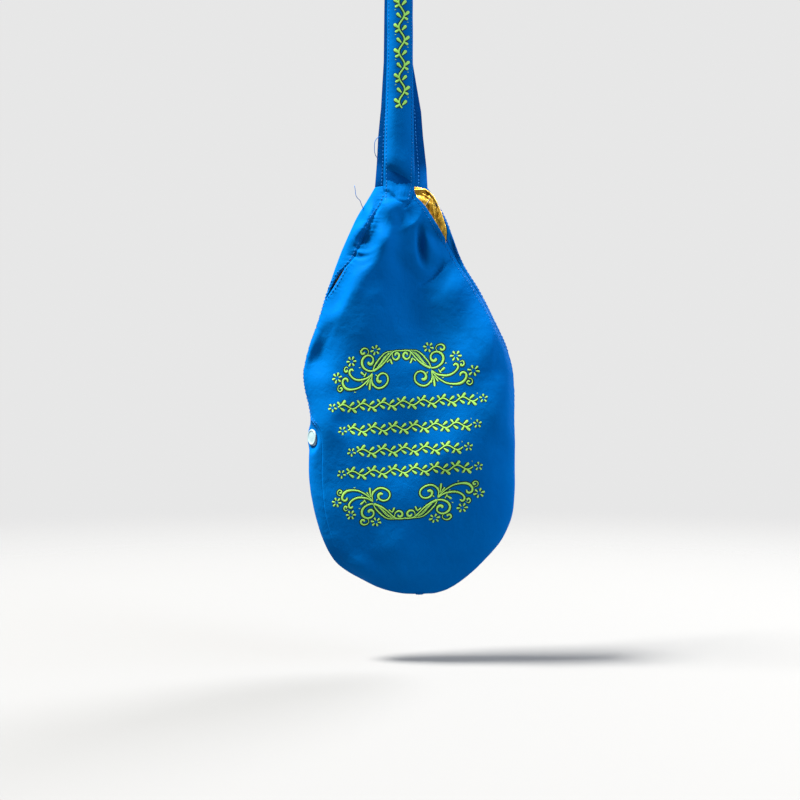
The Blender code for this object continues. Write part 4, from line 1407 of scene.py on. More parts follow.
def leaf_stroke(base, tip, width):
    """A drop: narrow at its base and round at its tip."""
    base, tip = np.array(base, float), np.array(tip, float)
    return np.column_stack([base + DROP_PLACES[:, None] * (tip - base), width * DROP_WIDTHS])


def flower(middle, turn, petals, inner, outer, width):
    """Petals round a middle, each a drop that reaches from the inner radius to the outer one."""
    strokes = []
    for k in range(petals):
        angle = math.radians(turn + 360 / petals * k)
        way = np.array((math.cos(angle), math.sin(angle)))
        strokes.append(leaf_stroke(middle + way * inner, middle + way * outer, width))
    return strokes


def half_ornament():
    """All strokes of one half, each an array with a row (across, down, width) for each point."""
    strokes = [np.array(stations, float) for stations in SCROLLS.values()]
    strokes += [leaf_stroke(*leaf) for leaf in LEAVES]
    for across, down, radius in DOTS:
        ends = (down - DOT_LENGTH / 2, down + DOT_LENGTH / 2)
        strokes.append(np.array([(across, end, 2 * radius) for end in ends]))
    for across, down, turn, size in FLOWERS:
        middle = np.array((across, down))
        strokes += flower(middle, turn, PETALS, size * PETAL_FROM, size * PETAL_TO, PETAL_WIDTH)
    return strokes


print("strokes in half an ornament:", len(half_ornament()))

# %% Both ornaments, each with its mirrored half
# The print follows the belly, so each ornament leans, and stretches a little towards its sides.
UPPER_MIDDLE = 401.2
UPPER_STRETCH = 0.000889
UPPER_LEAN = 0.055
LOWER_MIDDLE = 404.8
LOWER_ROW = 497.85
TURNED_ROW = 374.2  # the row of the upper ornament that comes to lie on the lower one's row
LOWER_WIDER, LOWER_FLATTER = 1.144, 0.875
LOWER_SQUEEZE = 0.00148
LOWER_STRETCH = 0.000654
LOWER_LEAN = 0.07


def on_upper(across, down):
    """Columns and rows of the upper ornament. Across is below zero on its left half."""
    return UPPER_MIDDLE + across + UPPER_STRETCH * across**2, down - UPPER_LEAN * across


def on_lower(across, down):
    """The lower ornament is the upper one turned upside down, wider and flatter."""
    wider = LOWER_WIDER * across - LOWER_SQUEEZE * across * np.abs(across)
    column = LOWER_MIDDLE + wider + LOWER_STRETCH * across**2
    return column, LOWER_ROW + LOWER_FLATTER * (TURNED_ROW - down) - LOWER_LEAN * across


ink_strokes = []
for place in (on_upper, on_lower):
    for side in (-1, 1):
        for across, down, widths in (stroke.T for stroke in half_ornament()):
            ink_strokes.append(np.column_stack([*place(across * side, down), widths]))
print("strokes in both ornaments:", len(ink_strokes))

# %% [markdown]
# Between the ornaments run four rows of a plain leafy vine. One function draws a vine between any two
# points, so the same one serves for the rows and for the strap.

# %% A vine between two points
VINE_WAVE = 2.4
VINE_LENGTH = 21.0
VINE_STEM = 1.35
VINE_LEAVES = [  # base and tip as (ahead of a crest, up), then the width
    ((-1.4, 2.2), (3.0, 6.4), 2.9),
    ((-2.4, 1.6), (-5.2, 5.4), 2.2),
    ((-3.2, -0.4), (1.4, -3.9), 2.7),
]
VINE_DOT = (4.4, -5.2)
VINE_DOT_LENGTH = 0.5
VINE_DOT_WIDTH = 1.9


def vine(start, end, size=1.0):
    """Strokes of a waving stem with three leaves and a dot at each crest and trough."""
    start, end = np.array(start, float), np.array(end, float)
    length = np.linalg.norm(end - start)
    ahead = (end - start) / length
    up = np.array((ahead[1], -ahead[0]))
    waves = max(round(length / (VINE_LENGTH * size)), 1)
    wave = length / waves

    def at(along, high):
        return start + ahead * along + up * high * size

    along = np.linspace(0, length, waves * 8 + 1)
    stem = np.array([at(s, VINE_WAVE * math.sin(2 * math.pi * s / wave)) for s in along])
    strokes = [np.column_stack([stem, np.full(len(stem), VINE_STEM * size)])]
    for k in range(2 * waves):
        crest = (k + 0.5) * wave / 2
        way = 1 if k % 2 == 0 else -1
        for base, tip, width in VINE_LEAVES:
            from_stem = at(crest + base[0], way * base[1])
            strokes.append(leaf_stroke(from_stem, at(crest + tip[0], way * tip[1]), width * size))
        dot = at(crest + VINE_DOT[0], way * VINE_DOT[1])
        ends = np.array([dot, dot + ahead * VINE_DOT_LENGTH])
        strokes.append(np.column_stack([ends, np.full(2, VINE_DOT_WIDTH * size)]))
    return strokes


print("strokes in a vine 100 pixels long:", len(vine((0, 0), (100, 0))))

# %% The rows of vine
VINE_ROWS = [
    ((338, 407.5), (478, 398.5)),
    ((348, 430.5), (472, 424.0)),
    ((357, 452.0), (463, 447.0)),
    ((347, 474.0), (473, 466.5)),
]
STRAP_VINE = ((402.0, 108), (401.2, -42))
STRAP_VINE_SIZE = 1.18
END_FLOWER = {"petals": 5, "inner": 1.54, "outer": 4.4, "width": 2.0}
BESIDE_END = (5.5, -0.3)  # from a row's end to the middle of its flower
for start, end in VINE_ROWS:
    ink_strokes += vine(start, end)
    ink_strokes += flower(np.array(start) - BESIDE_END, turn=15, **END_FLOWER)
    ink_strokes += flower(np.array(end) + BESIDE_END, turn=50, **END_FLOWER)
strap_strokes = vine(*STRAP_VINE, STRAP_VINE_SIZE)
print("strokes on the bag:", len(ink_strokes), "on the strap:", len(strap_strokes))

# %% Print the strokes
INK_RIM = 2.4  # how much wider the dark rim is, in pixels
RIM_CROWN = 0.00009
RIM_EDGE = 0.00004


def printed(name, jobs, **settings):
    """One object from (tree, stroke) pairs. A stroke that runs off its cloth is left out."""
    parts = [ink_stroke(tree, stroke, **settings) for tree, stroke in jobs]
    made = joined_object(name, [part for part in parts if len(part[0])])
    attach(made, "root")
    return made


ink_jobs = [(panel_tree, stroke) for stroke in ink_strokes]
ink_jobs += [(strap_tree, stroke) for stroke in strap_strokes]
ink_rim = printed("ink_rim", ink_jobs, extra=INK_RIM, crown=RIM_CROWN, edge=RIM_EDGE)
ink = printed("ink", ink_jobs)
print("ink faces:", len(ink.data.polygons), "rim faces:", len(ink_rim.data.polygons))

# %% [markdown]
# A scrap of plain grey tape, a few millimetres long, is caught in the lining. It lies on the gold strip as a
# stroke of ink would, so the same function makes it, only thicker.

# %% The scrap of tape in the mouth
TAPE = [(430, 199, 0.9), (428.4, 201.4, 1.0), (426.6, 204, 1.0), (424.6, 207, 0.9)]
TAPE_CROWN = 0.00030
TAPE_EDGE = 0.00012
tape_stroke = ink_stroke(surface_tree(strip_grid), TAPE, crown=TAPE_CROWN, edge=TAPE_EDGE)
grey_tape = joined_object("grey_tape", [tape_stroke])
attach(grey_tape, "root")
print("tape faces:", len(grey_tape.data.polygons))

# %% [markdown]
# ## Sewing
# Each stitch is a short piece of thread that dips into the cloth at both ends. They are small, but rows of
# them are what tells the eye that an edge is sewn. All stitches of the bag share one mesh.

# %% A row of stitches
STITCH_PITCH = 0.0032
STITCH_SHARE = 0.72
THREAD_RADIUS = 0.00022
THREAD_LIFT = 0.00012
STITCH_HEIGHT = THREAD_LIFT + THREAD_RADIUS * 0.4
STITCHES_DIFFER = 0.1  # by this share of their length
THREAD_SIDES = 6
STITCH_RISE = np.array([-0.9, 0.6, 1.0, 0.6, -0.9])  # in the cloth, out of it, and back


def stitch_row(line, normals, start=0.0, end=1.0, seed=1):
    """Short tubes along a line on the cloth, between two shares of its length."""
    random = np.random.default_rng(seed)
    run = length_along(line)
    rise = STITCH_RISE[:, None] * STITCH_HEIGHT
    parts = []
    for place in np.arange(run[-1] * start, run[-1] * end - STITCH_PITCH, STITCH_PITCH):
        length = STITCH_PITCH * STITCH_SHARE * (1 + STITCHES_DIFFER * random.standard_normal())
        at = place + np.linspace(0, length, len(rise))
        points = np.stack([np.interp(at, run, line[:, k]) for k in range(3)], axis=1)
        out = np.stack([np.interp(at, run, normals[:, k]) for k in range(3)], axis=1)
        parts.append(tube_mesh(points + out * rise, THREAD_RADIUS, THREAD_SIDES))
    return parts


def panel_row(grid, normals, distance, from_right=False, **settings):
    """Stitches that run down a panel, this far in from its left or right edge."""
    line = line_at(grid, grid, distance, from_right)
    return stitch_row(line, line_at(grid, normals, distance, from_right), **settings)


test_row = stitch_row(np.array([(0.0, 0, 0), (0.05, 0, 0)]), np.array([(0.0, 0, 1)] * 2))
print("stitches in 50 mm:", len(test_row))

# %% The bag's and the strap's stitches
SEAM_ROW_IN = 0.0030
MOUTH_ROW_IN = 0.0042
FRONT_ROWS_AT = (0.105, 0.895)  # across the band
BACK_ROWS_AT = (0.13, 0.87)
stitches = []
stitches += panel_row(front_grid, front_normals, SEAM_ROW_IN, start=0.20, end=0.56, seed=2)
stitches += panel_row(front_grid, front_normals, MOUTH_ROW_IN, True, end=0.40, seed=4)
stitches += panel_row(back_grid, back_normals, SEAM_ROW_IN, end=0.56, seed=5)
stitches += panel_row(back_grid, back_normals, MOUTH_ROW_IN, True, end=0.40, seed=6)
band_normals = grid_normals(band_inner, 1)
for part_across in FRONT_ROWS_AT:
    place = part_across * (band_columns - 1)
    low, share = int(place), place - int(place)
    line = band_outer[:, low] * (1 - share) + band_outer[:, low + 1] * share
    stitches += stitch_row(line, band_normals[:, low], start=0.004, end=0.996, seed=7 + low)
for part_across in BACK_ROWS_AT:
    place = int(part_across * (band_columns - 1))
    line = band_inner[::-1, place]
    stitches += stitch_row(line, -band_normals[::-1, place], start=0.004, end=0.46, seed=9 + place)
print("stitches:", len(stitches))

# %% [markdown]
# Two ends of thread were never cut off: one stands out from the shoulder, one loops beside the strap. Such
# small accidents make sewn work look real, so each gets its own line of points.

# %% Loose threads
# Column, row, and depth in millimetres behind the middle plane.
SHOULDER_THREAD = [
    (364.6, 212, -6), (361.7, 205.7, -7.5), (360.3, 202, -9), (357.6, 199.4, -10), (356, 196, -10),
    (355.6, 191.5, -9.5), (354.7, 187, -9),
]
STRAP_THREAD = [
    (380.5, 134.5, 9.2), (377.6, 135.8, 8), (375.2, 139, 7), (374.2, 144, 6.4), (374.4, 150, 6.4),
    (375.8, 154.5, 7.2), (378.6, 157, 9.2),
]
THREAD_SPACING = 0.35  # millimetres between its points


def loose_thread(points, radius):
    """A tube through points that are given in the picture's pixels."""
    columns, rows, depths = np.array(points, float).T
    x, z = from_pixels(columns, rows)
    path, _ = rounded_path(np.stack([x / MILLIMETRE, depths, z / MILLIMETRE], axis=1), THREAD_SPACING)
    return tube_mesh(path * MILLIMETRE, radius, THREAD_SIDES)


stitches.append(loose_thread(SHOULDER_THREAD, radius=0.00028))
stitches.append(loose_thread(STRAP_THREAD, radius=0.00030))
sewing = joined_object("sewing_threads", stitches)
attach(sewing, "root")
print("thread faces:", len(sewing.data.polygons))

# %% [markdown]
# ## The press stud
# A closed plastic press stud: a pale cap with a raised rim. It is a turned shape, so a profile spun round
# its axis makes it. The three inner parts keep their CAD shape.

# %% A turned shape
CAP_SIDES = 64
# Share of the radius, then height in millimetres above the cloth.
CAP_PROFILE = [
    (0, 1.55), (0.2, 1.53), (0.45, 1.45), (0.66, 1.34), (0.74, 1.4), (0.8, 1.66), (0.87, 1.78),
    (0.94, 1.66), (0.99, 1.25), (1, 0.85), (0.985, 0.45), (0.93, 0.32), (0, 0.3),
]
LOWER_PROFILE = [
    (0, 0.95), (0.6, 0.95), (0.78, 1.02), (0.9, 0.96), (0.98, 0.7), (1, 0.45), (0.96, 0.15), (0, 0.1),
]


def turned_shape(profile, radius, sides):
    """Points and faces of a profile spun round the z axis."""
    points, faces, rings = [], [], []
    for share, height in profile:
        if share == 0:
            rings.append([len(points)] * sides)
            points.append((0, 0, height * MILLIMETRE))
            continue
        rings.append(list(range(len(points), len(points) + sides)))
        reach = share * radius
        for k in range(sides):
            turn = 2 * math.pi * k / sides
            points.append((reach * math.cos(turn), reach * math.sin(turn), height * MILLIMETRE))
    for upper, lower in zip(rings, rings[1:]):
        for k in range(sides):
            after = (k + 1) % sides
            faces.append(list(dict.fromkeys([upper[k], lower[k], lower[after], upper[after]])))
    return points, faces


print("faces of the cap:", len(turned_shape(CAP_PROFILE, CAP_RADIUS, CAP_SIDES)[1]))

# %% The stud's cap, and the second half that peeps out below it
LOWER_RADIUS = 0.0050
LOWER_SHIFT = (0.0010, -0.0007, -0.0022)
stud_turn = Vector(STUD_OUT).to_track_quat("Z", "Y").to_matrix()


def on_stud(profile, radius, shift=(0, 0, 0)):
    """A turned shape, set on the stud's seat and turned to face out of the cloth."""
    points, faces = turned_shape(profile, radius, CAP_SIDES)
    return [stud_turn @ Vector(point) + Vector(STUD_SEAT) + Vector(shift) for point in points], faces


stud_parts = [on_stud(CAP_PROFILE, CAP_RADIUS), on_stud(LOWER_PROFILE, LOWER_RADIUS, LOWER_SHIFT)]
stud_cap = joined_object("stud_cap", stud_parts)
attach(stud_cap, "root")
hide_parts("press_stud_cap")
print("faces of the stud's cap and lower half:", len(stud_cap.data.polygons))

# %% [markdown]
# ## Materials
# Cloth is a surface of crossing threads. One node group draws that weave, for every cloth to use with its
# own thread size, and a second group gives slow changes of tone, as dye and light wear leave them.

# %% Node helpers


def new_group(name, inputs, outputs):
    """An empty node group with named sockets, and its input and output nodes."""
    group = bpy.data.node_groups.new(name, "ShaderNodeTree")
    for label, kind, value in inputs:
        socket = group.interface.new_socket(name=label, in_out="INPUT", socket_type=kind)
        if value is not None:
            socket.default_value = value
    for label, kind in outputs:
        group.interface.new_socket(name=label, in_out="OUTPUT", socket_type=kind)
    return group, group.nodes.new("NodeGroupInput"), group.nodes.new("NodeGroupOutput")


def connect(tree, value, socket):
    """Links a node's output to the socket, or puts a plain value in it."""
    if isinstance(value, bpy.types.NodeSocket):
        tree.links.new(value, socket)
    else:
        socket.default_value = value


def math_node(tree, operation, *values):
    """A Math node with two or three values or sockets put in, and its result."""
    node = tree.nodes.new("ShaderNodeMath")
    node.operation = operation
    for socket, value in zip(node.inputs, values):
        connect(tree, value, socket)
    return node.outputs[0]


def mix_colours(tree, share, first, second):
    """A Mix node between two colours. Its colour sockets are the seventh and the eighth."""
    node = tree.nodes.new("ShaderNodeMix")
    node.data_type = "RGBA"
    for index, value in ((0, share), (6, first), (7, second)):
        connect(tree, value, node.inputs[index])
    return node.outputs[2]


def noise_node(tree, place, scale, **settings):
    """A Noise Texture at a place, with any of its other inputs by name."""
    node = tree.nodes.new("ShaderNodeTexNoise")
    tree.links.new(place, node.inputs["Vector"])
    connect(tree, scale, node.inputs["Scale"])
    for label, value in settings.items():
        node.inputs[label].default_value = value
    return node.outputs["Fac"]


def group_node(tree, group, place, **settings):
    """A node that uses a group at a place, with its other inputs by name."""
    node = tree.nodes.new("ShaderNodeGroup")
    node.node_tree = group
    tree.links.new(place, node.inputs["Vector"])
    for label, value in settings.items():
        node.inputs[label].default_value = value
    return node.outputs


def bump_node(tree, height, distance, strength, under=None):
    """The normal of a bump map, laid over the one under it."""
    node = tree.nodes.new("ShaderNodeBump")
    node.inputs["Distance"].default_value = distance
    node.inputs["Strength"].default_value = strength
    tree.links.new(height, node.inputs["Height"])
    if under is not None:
        tree.links.new(under, node.inputs["Normal"])
    return node.outputs["Normal"]


def new_material(name):
    """A material with nodes, its node tree, and its Principled BSDF."""
    made = bpy.data.materials.new(name)
    made.use_nodes = True
    return made, made.node_tree, made.node_tree.nodes["Principled BSDF"]


print("materials of the CAD model:", [m.name for m in bpy.data.materials])

# %% The weave group
CROSSING_HEIGHT = 0.35  # where threads cross
TWILL_HEIGHT = 0.40  # the slant that runs over the crossings
FUZZ_HEIGHT, FUZZ_SCALE = 0.8, 900.0
weave, weave_in, weave_out = new_group(
    "woven_threads",
    [("Vector", "NodeSocketVector", None), ("Threads per metre", "NodeSocketFloat", 1600.0)],
    [("Height", "NodeSocketFloat"), ("Tone", "NodeSocketFloat")],
)
split = weave.nodes.new("ShaderNodeSeparateXYZ")
weave.links.new(weave_in.outputs["Vector"], split.inputs[0])
full_turn = math_node(weave, "MULTIPLY", weave_in.outputs["Threads per metre"], 2 * math.pi)
warp = math_node(weave, "MULTIPLY", split.outputs["X"], full_turn)
weft = math_node(weave, "MULTIPLY", split.outputs["Y"], full_turn)
slant = math_node(weave, "SINE", math_node(weave, "MULTIPLY", math_node(weave, "ADD", warp, weft), 0.5))
threads = math_node(weave, "MULTIPLY", math_node(weave, "SINE", warp), math_node(weave, "SINE", weft))
fuzz = noise_node(weave, weave_in.outputs["Vector"], FUZZ_SCALE, Detail=2.0)
twill = math_node(weave, "MULTIPLY", slant, TWILL_HEIGHT)
height = math_node(weave, "MULTIPLY_ADD", threads, CROSSING_HEIGHT, twill)
height = math_node(weave, "ADD", height, math_node(weave, "MULTIPLY", fuzz, FUZZ_HEIGHT))
weave.links.new(height, weave_out.inputs["Height"])
weave.links.new(fuzz, weave_out.inputs["Tone"])
print("weave group sockets:", [item.name for item in weave.interface.items_tree])

# %% The uneven dye group
PATCH_CONTRAST = 1.6
PATCH_SHARE, CRUMPLE_SHARE = 0.8, 0.25  # how much each of them shades the cloth
CRUMPLE_SCALE = 110.0
dye, dye_in, dye_out = new_group(
    "uneven_dye",
    [
        ("Vector", "NodeSocketVector", None),
        ("Light", "NodeSocketColor", (1, 1, 1, 1)),
        ("Dark", "NodeSocketColor", (0, 0, 0, 1)),
        ("Patch size", "NodeSocketFloat", 25.0),
    ],
    [("Color", "NodeSocketColor"), ("Crumple", "NodeSocketFloat")],
)
dye_place = dye_in.outputs["Vector"]
slow = noise_node(dye, dye_place, dye_in.outputs["Patch size"], Detail=3.0, Roughness=0.55)
crumple = noise_node(dye, dye_place, CRUMPLE_SCALE, Detail=4.0, Roughness=0.6, Distortion=0.4)
patch = math_node(dye, "MULTIPLY_ADD", slow, PATCH_CONTRAST, (1 - PATCH_CONTRAST) / 2)
patch = math_node(dye, "MULTIPLY", patch, PATCH_SHARE)
patch = math_node(dye, "MULTIPLY_ADD", crumple, CRUMPLE_SHARE, patch)
dyed = mix_colours(dye, patch, dye_in.outputs["Dark"], dye_in.outputs["Light"])
dye.links.new(dyed, dye_out.inputs["Color"])
dye.links.new(crumple, dye_out.inputs["Crumple"])
print("dye group sockets:", [item.name for item in dye.interface.items_tree])

# %% A cloth material from the two groups
WEAVE_SHOWS = 0.30  # how much the threads' tone shows in the colour
TONE_CONTRAST = 0.5
ROUGHNESS_SPREAD = 0.16
CRUMPLE_STRENGTH = 0.8
WEAVE_STRENGTH = 0.6


def cloth_material(
    name, light, dark, roughness, threads_per_metre, weave_depth, crumple_depth, specular, tint
):
    """Woven, unevenly dyed cloth. The weave lies over the crumples, and both are very shallow."""
    made, tree, shader = new_material(name)
    uv = tree.nodes.new("ShaderNodeUVMap")
    uv.uv_map = "Cloth"
    place = tree.nodes.new("ShaderNodeTexCoord")
    woven = group_node(tree, weave, uv.outputs["UV"], **{"Threads per metre": threads_per_metre})
    dyed = group_node(tree, dye, place.outputs["Object"], Light=(*light, 1), Dark=(*dark, 1))
    colour, crumples = dyed["Color"], dyed["Crumple"]
    tone = math_node(tree, "MULTIPLY_ADD", woven["Tone"], TONE_CONTRAST, (1 - TONE_CONTRAST) / 2)
    shaded = mix_colours(tree, tone, (*dark, 1), colour)
    tree.links.new(mix_colours(tree, WEAVE_SHOWS, colour, shaded), shader.inputs["Base Color"])
    rough = math_node(tree, "MULTIPLY_ADD", crumples, ROUGHNESS_SPREAD, roughness - ROUGHNESS_SPREAD / 2)
    tree.links.new(rough, shader.inputs["Roughness"])
    crumpled = bump_node(tree, crumples, crumple_depth, CRUMPLE_STRENGTH)
    normal = bump_node(tree, woven["Height"], weave_depth, WEAVE_STRENGTH, crumpled)
    tree.links.new(normal, shader.inputs["Normal"])
    shader.inputs["Specular IOR Level"].default_value = specular
    shader.inputs["Specular Tint"].default_value = (*tint, 1)
    return made


print("a cloth material uses the groups", weave.name, "and", dye.name)

# %% [markdown]
# The bag and its strap are a strong blue cotton, dull because its threads are. The strap's inner side gets a
# darker copy of that blue, which is painted shade. The lining is golden satin: its threads float on top, so
# it shines, and a little metallic value gives the shine the gold's own colour.

# %% Blue cotton and golden satin
BLUE_LIGHT = (0.000, 0.103, 0.355)
BLUE_DARK = (0.000, 0.075, 0.285)
# A darker copy of the blue for the strap's inner side: painted shade.
SHADED_INSIDE_LIGHT = (0, 0.056, 0.23)
SHADED_INSIDE_DARK = (0, 0.040, 0.18)
GOLD_LIGHT = (0.84, 0.56, 0.10)
GOLD_DARK = (0.52, 0.28, 0.02)
BLUE = {"threads_per_metre": 1500, "weave_depth": 0.00004, "specular": 0.01, "tint": (0.0, 0.35, 1.0)}
GOLD = {"threads_per_metre": 2400, "weave_depth": 0.00002, "specular": 0.4, "tint": (1, 0.8, 0.4)}
SATIN_METALLIC = 0.35
cotton = cloth_material("blue_cotton", BLUE_LIGHT, BLUE_DARK, 0.62, crumple_depth=0.0007, **BLUE)
band_cotton = cloth_material("strap_cotton", BLUE_LIGHT, BLUE_DARK, 0.60, crumple_depth=0.0005, **BLUE)
# The strap's inner side is a darker copy of the cotton, which is painted shade.
band_painted_shade = cloth_material("strap_inside_painted_shade", SHADED_INSIDE_LIGHT, SHADED_INSIDE_DARK, 0.66, crumple_depth=0.0005, **BLUE)
satin = cloth_material("gold_satin", GOLD_LIGHT, GOLD_DARK, 0.36, crumple_depth=0.0010, **GOLD)
satin.node_tree.nodes["Principled BSDF"].inputs["Metallic"].default_value = SATIN_METALLIC
for piece in (front_panel, back_panel):
    piece.data.materials.append(cotton)
folded_band.data.materials.append(band_cotton)
folded_band.data.materials.append(band_painted_shade)
folded_band.data.polygons.foreach_set("material_index", painted_shade_faces)
for piece in (front_lining, back_lining, turned_strip, rolled_hem):
    piece.data.materials.append(satin)
print("cloth materials:", [m.name for m in (cotton, band_cotton, band_painted_shade, satin)])

# %% [markdown]
# The stud is pearly plastic, and the print is thick ink that soaked a dark rim into the cotton. With the tape
# and the thread, all of them are plain materials that look a little cloudy or grainy from near by. One more
# node group gives them that: fine speckles between two colours.

# %% The speckle group
speckles, speckles_in, speckles_out = new_group(
    "fine_speckles",
    [
        ("Vector", "NodeSocketVector", None),
        ("Scale", "NodeSocketFloat", 900.0),
        ("First", "NodeSocketColor", (1, 1, 1, 1)),
        ("Second", "NodeSocketColor", (0, 0, 0, 1)),
    ],
    [("Color", "NodeSocketColor"), ("Speck", "NodeSocketFloat")],
)
speck = noise_node(speckles, speckles_in.outputs["Vector"], speckles_in.outputs["Scale"], Detail=3.0)
speck_colour = mix_colours(speckles, speck, speckles_in.outputs["First"], speckles_in.outputs["Second"])
speckles.links.new(speck_colour, speckles_out.inputs["Color"])
speckles.links.new(speck, speckles_out.inputs["Speck"])
print("speckle group sockets:", [item.name for item in speckles.interface.items_tree])

# %% A speckled material


def speckled(name, first, second, scale, roughness, bump, spread=0.2, strength=0.6, specular=0.15):
    """A plain material with fine speckles: mixed colour, uneven roughness and a slight bump."""
    made, tree, shader = new_material(name)
    place = tree.nodes.new("ShaderNodeTexCoord")
    colours = {"First": (*first, 1), "Second": (*second, 1)}
    grain = group_node(tree, speckles, place.outputs["Object"], Scale=scale, **colours)
    tree.links.new(grain["Color"], shader.inputs["Base Color"])
    rough = math_node(tree, "MULTIPLY_ADD", grain["Speck"], spread, roughness - spread / 2)
    tree.links.new(rough, shader.inputs["Roughness"])
    relief = bump_node(tree, grain["Speck"], bump, strength)
    tree.links.new(relief, shader.inputs["Normal"])
    shader.inputs["Specular IOR Level"].default_value = specular
    return made


pearl_colours = (0.20, 0.31, 0.35), (0.31, 0.41, 0.44)
pearl_finish = {"spread": 0.15, "strength": 0.5, "specular": 0.5}
pearl = speckled("pearly_plastic", *pearl_colours, 260, 0.315, 0.00006, **pearl_finish)
stud_cap.data.materials.append(pearl)
inner_pieces = ("press_stud_socket", "press_stud_knob", "press_stud_back_cap")
for name in inner_pieces:
    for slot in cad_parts[name].material_slots:
        slot.material = pearl
print("pieces of pearly plastic:", 1 + len(inner_pieces))

# %% The ink, the tape and the threads
INK_PAINTED_GLOW = 0.10  # a little emission in the ink's own colour: painted glow, which makes the print brighter than the lamps light it
lime_ink = speckled("lime_ink", (0.22, 0.48, 0.07), (0.32, 0.60, 0.12), 900, 0.55, 0.0001)
ink_shader = lime_ink.node_tree.nodes["Principled BSDF"]
ink_colour = ink_shader.inputs["Base Color"].links[0].from_socket
# The ink's own colour also feeds its emission: painted glow.
lime_ink.node_tree.links.new(ink_colour, ink_shader.inputs["Emission Color"])
ink_shader.inputs["Emission Strength"].default_value = INK_PAINTED_GLOW
tape_grey = speckled("grey_tape", (0.20, 0.22, 0.20), (0.42, 0.42, 0.36), 1200, 0.5, 0.00008)
rim_green = speckled("dark_ink_rim", (0.00, 0.020, 0.022), (0.00, 0.036, 0.036), 700, 0.7, 0.00004)
thread_blue = speckled("blue_thread", (0.00, 0.09, 0.33), (0.003, 0.125, 0.38), 1400, 0.6, 0.0001)
for piece, material in ((ink, lime_ink), (grey_tape, tape_grey), (ink_rim, rim_green), (sewing, thread_blue)):
    piece.data.materials.append(material)
print("materials:", [m.name for m in bpy.data.materials])

# %% [markdown]
# ## Sheets of cloth
# The pieces of cloth are gathered in one tuple of sheets.

sheets = (front_panel, back_panel, front_lining, back_lining, folded_band)
print("sheets:", [piece.name for piece in sheets])

# %% [markdown]
# ## Floor, light and camera
# The main light is soft and comes from the upper left, almost along the cloth, which is what makes folds
# show. Two weaker ones, from the right and from behind, open the shaded side and the edges. A pale floor
# fades into a pale background.

# %% The pale floor
FLOOR_HEIGHT = -0.802
FLOOR_RADIUS = 2.2
FLOOR_SIDES = 96
FADE_FROM, FADE_TO = 0.85, 1.9  # metres from the middle between which the floor fades out
floor_mesh = bpy.data.meshes.new("floor")
floor_turn = np.linspace(0, 2 * math.pi, FLOOR_SIDES + 1)[:-1]
floor_points = [(FLOOR_RADIUS * math.cos(a), FLOOR_RADIUS * math.sin(a), FLOOR_HEIGHT) for a in floor_turn]
floor_mesh.from_pydata(floor_points, [], [list(range(FLOOR_SIDES))])
floor = bpy.data.objects.new("floor", floor_mesh)
bpy.context.scene.collection.objects.link(floor)
print("floor at z in mm:", mm(FLOOR_HEIGHT))

# %% The floor's material
pale, pale_tree, pale_shader = new_material("pale_floor")
pale_shader.inputs["Base Color"].default_value = (0.12, 0.12, 0.125, 1)
pale_shader.inputs["Roughness"].default_value = 0.9
pale_place = pale_tree.nodes.new("ShaderNodeTexCoord")
pale_length = pale_tree.nodes.new("ShaderNodeVectorMath")
pale_length.operation = "LENGTH"
pale_tree.links.new(pale_place.outputs["Object"], pale_length.inputs[0])
pale_fade = pale_tree.nodes.new("ShaderNodeMapRange")
pale_fade.interpolation_type = "SMOOTHSTEP"
pale_fade.inputs["From Min"].default_value = FADE_FROM
pale_fade.inputs["From Max"].default_value = FADE_TO
pale_tree.links.new(pale_length.outputs["Value"], pale_fade.inputs["Value"])
clear = pale_tree.nodes.new("ShaderNodeBsdfTransparent")
blend = pale_tree.nodes.new("ShaderNodeMixShader")
pale_tree.links.new(pale_fade.outputs["Result"], blend.inputs[0])
pale_tree.links.new(pale_shader.outputs[0], blend.inputs[1])
pale_tree.links.new(clear.outputs[0], blend.inputs[2])
pale_tree.links.new(blend.outputs[0], pale_tree.nodes["Material Output"].inputs["Surface"])
floor_mesh.materials.append(pale)
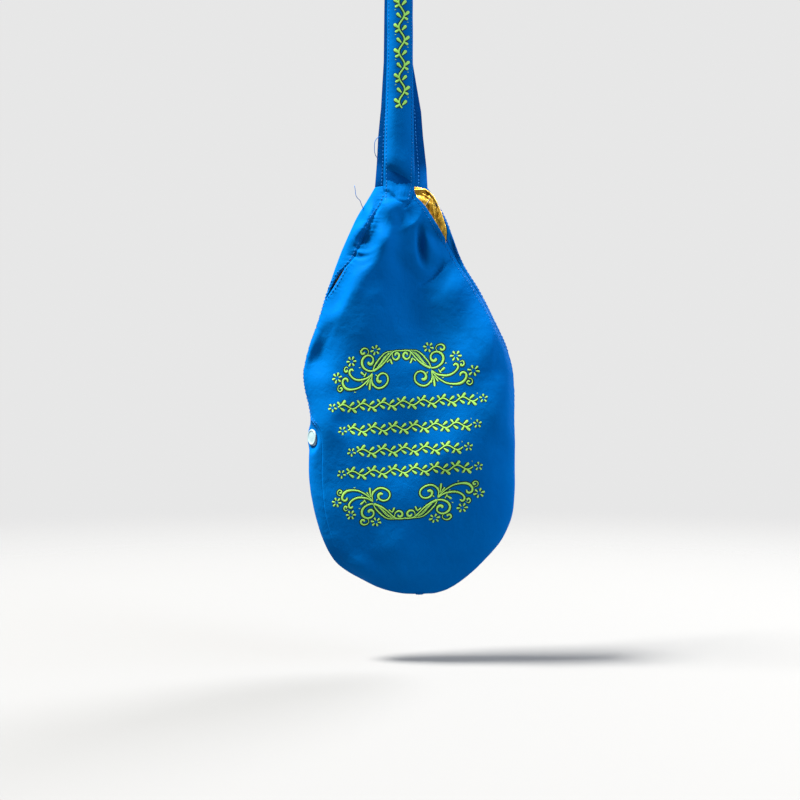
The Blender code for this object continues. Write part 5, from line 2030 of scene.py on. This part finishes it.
print("floor material:", pale.name)

# %% The background
BACKGROUND = (0.80, 0.80, 0.80, 1)
world = bpy.data.worlds.new("pale_room")
bpy.context.scene.world = world
world.use_nodes = True
sky = world.node_tree
seen = sky.nodes["Background"]
seen.inputs["Color"].default_value = BACKGROUND
fill = sky.nodes.new("ShaderNodeBackground")
fill.inputs["Color"].default_value = (0.85, 0.93, 1.0, 1)
fill.inputs["Strength"].default_value = 0.25
light_path = sky.nodes.new("ShaderNodeLightPath")
choose = sky.nodes.new("ShaderNodeMixShader")
sky.links.new(light_path.outputs["Is Camera Ray"], choose.inputs[0])
sky.links.new(fill.outputs[0], choose.inputs[1])
sky.links.new(seen.outputs[0], choose.inputs[2])
sky.links.new(choose.outputs[0], sky.nodes["World Output"].inputs["Surface"])
print("background:", [round(v, 2) for v in BACKGROUND[:3]])

# %% The lights


def soft_sun(name, towards_light, strength, softness, colour=(1, 1, 1)):
    """A sun lamp. softness is its angle in degrees: a wide one has soft shadows."""
    lamp = bpy.data.lights.new(name, "SUN")
    lamp.energy = strength
    lamp.angle = math.radians(softness)
    lamp.color = colour
    made = bpy.data.objects.new(name, lamp)
    made.rotation_euler = Vector(towards_light).to_track_quat("Z", "Y").to_euler()
    bpy.context.scene.collection.objects.link(made)


soft_sun("window_light", (-0.43, -0.07, 0.90), 18.0, 14, (1.0, 0.98, 0.90))
soft_sun("room_right", (0.78, -0.29, 0.55), 3.9, 50, (0.80, 0.90, 1.0))
soft_sun("room_behind", (0.52, 0.66, 0.54), 4.2, 26)
bpy.context.scene.view_settings.view_transform = "Standard"
print("lights:", [lamp.name for lamp in bpy.data.lights])

# %% The camera
LENS = 63.5
camera_data = bpy.data.cameras.new("camera")
camera_data.lens = LENS
camera_data.sensor_width = 36.0
camera = bpy.data.objects.new("camera", camera_data)
camera.location = CAMERA_PLACE
camera.rotation_euler = (math.radians(90), 0, 0)
bpy.context.scene.collection.objects.link(camera)
bpy.context.scene.camera = camera
print("camera at", [round(v, 3) for v in camera.location])
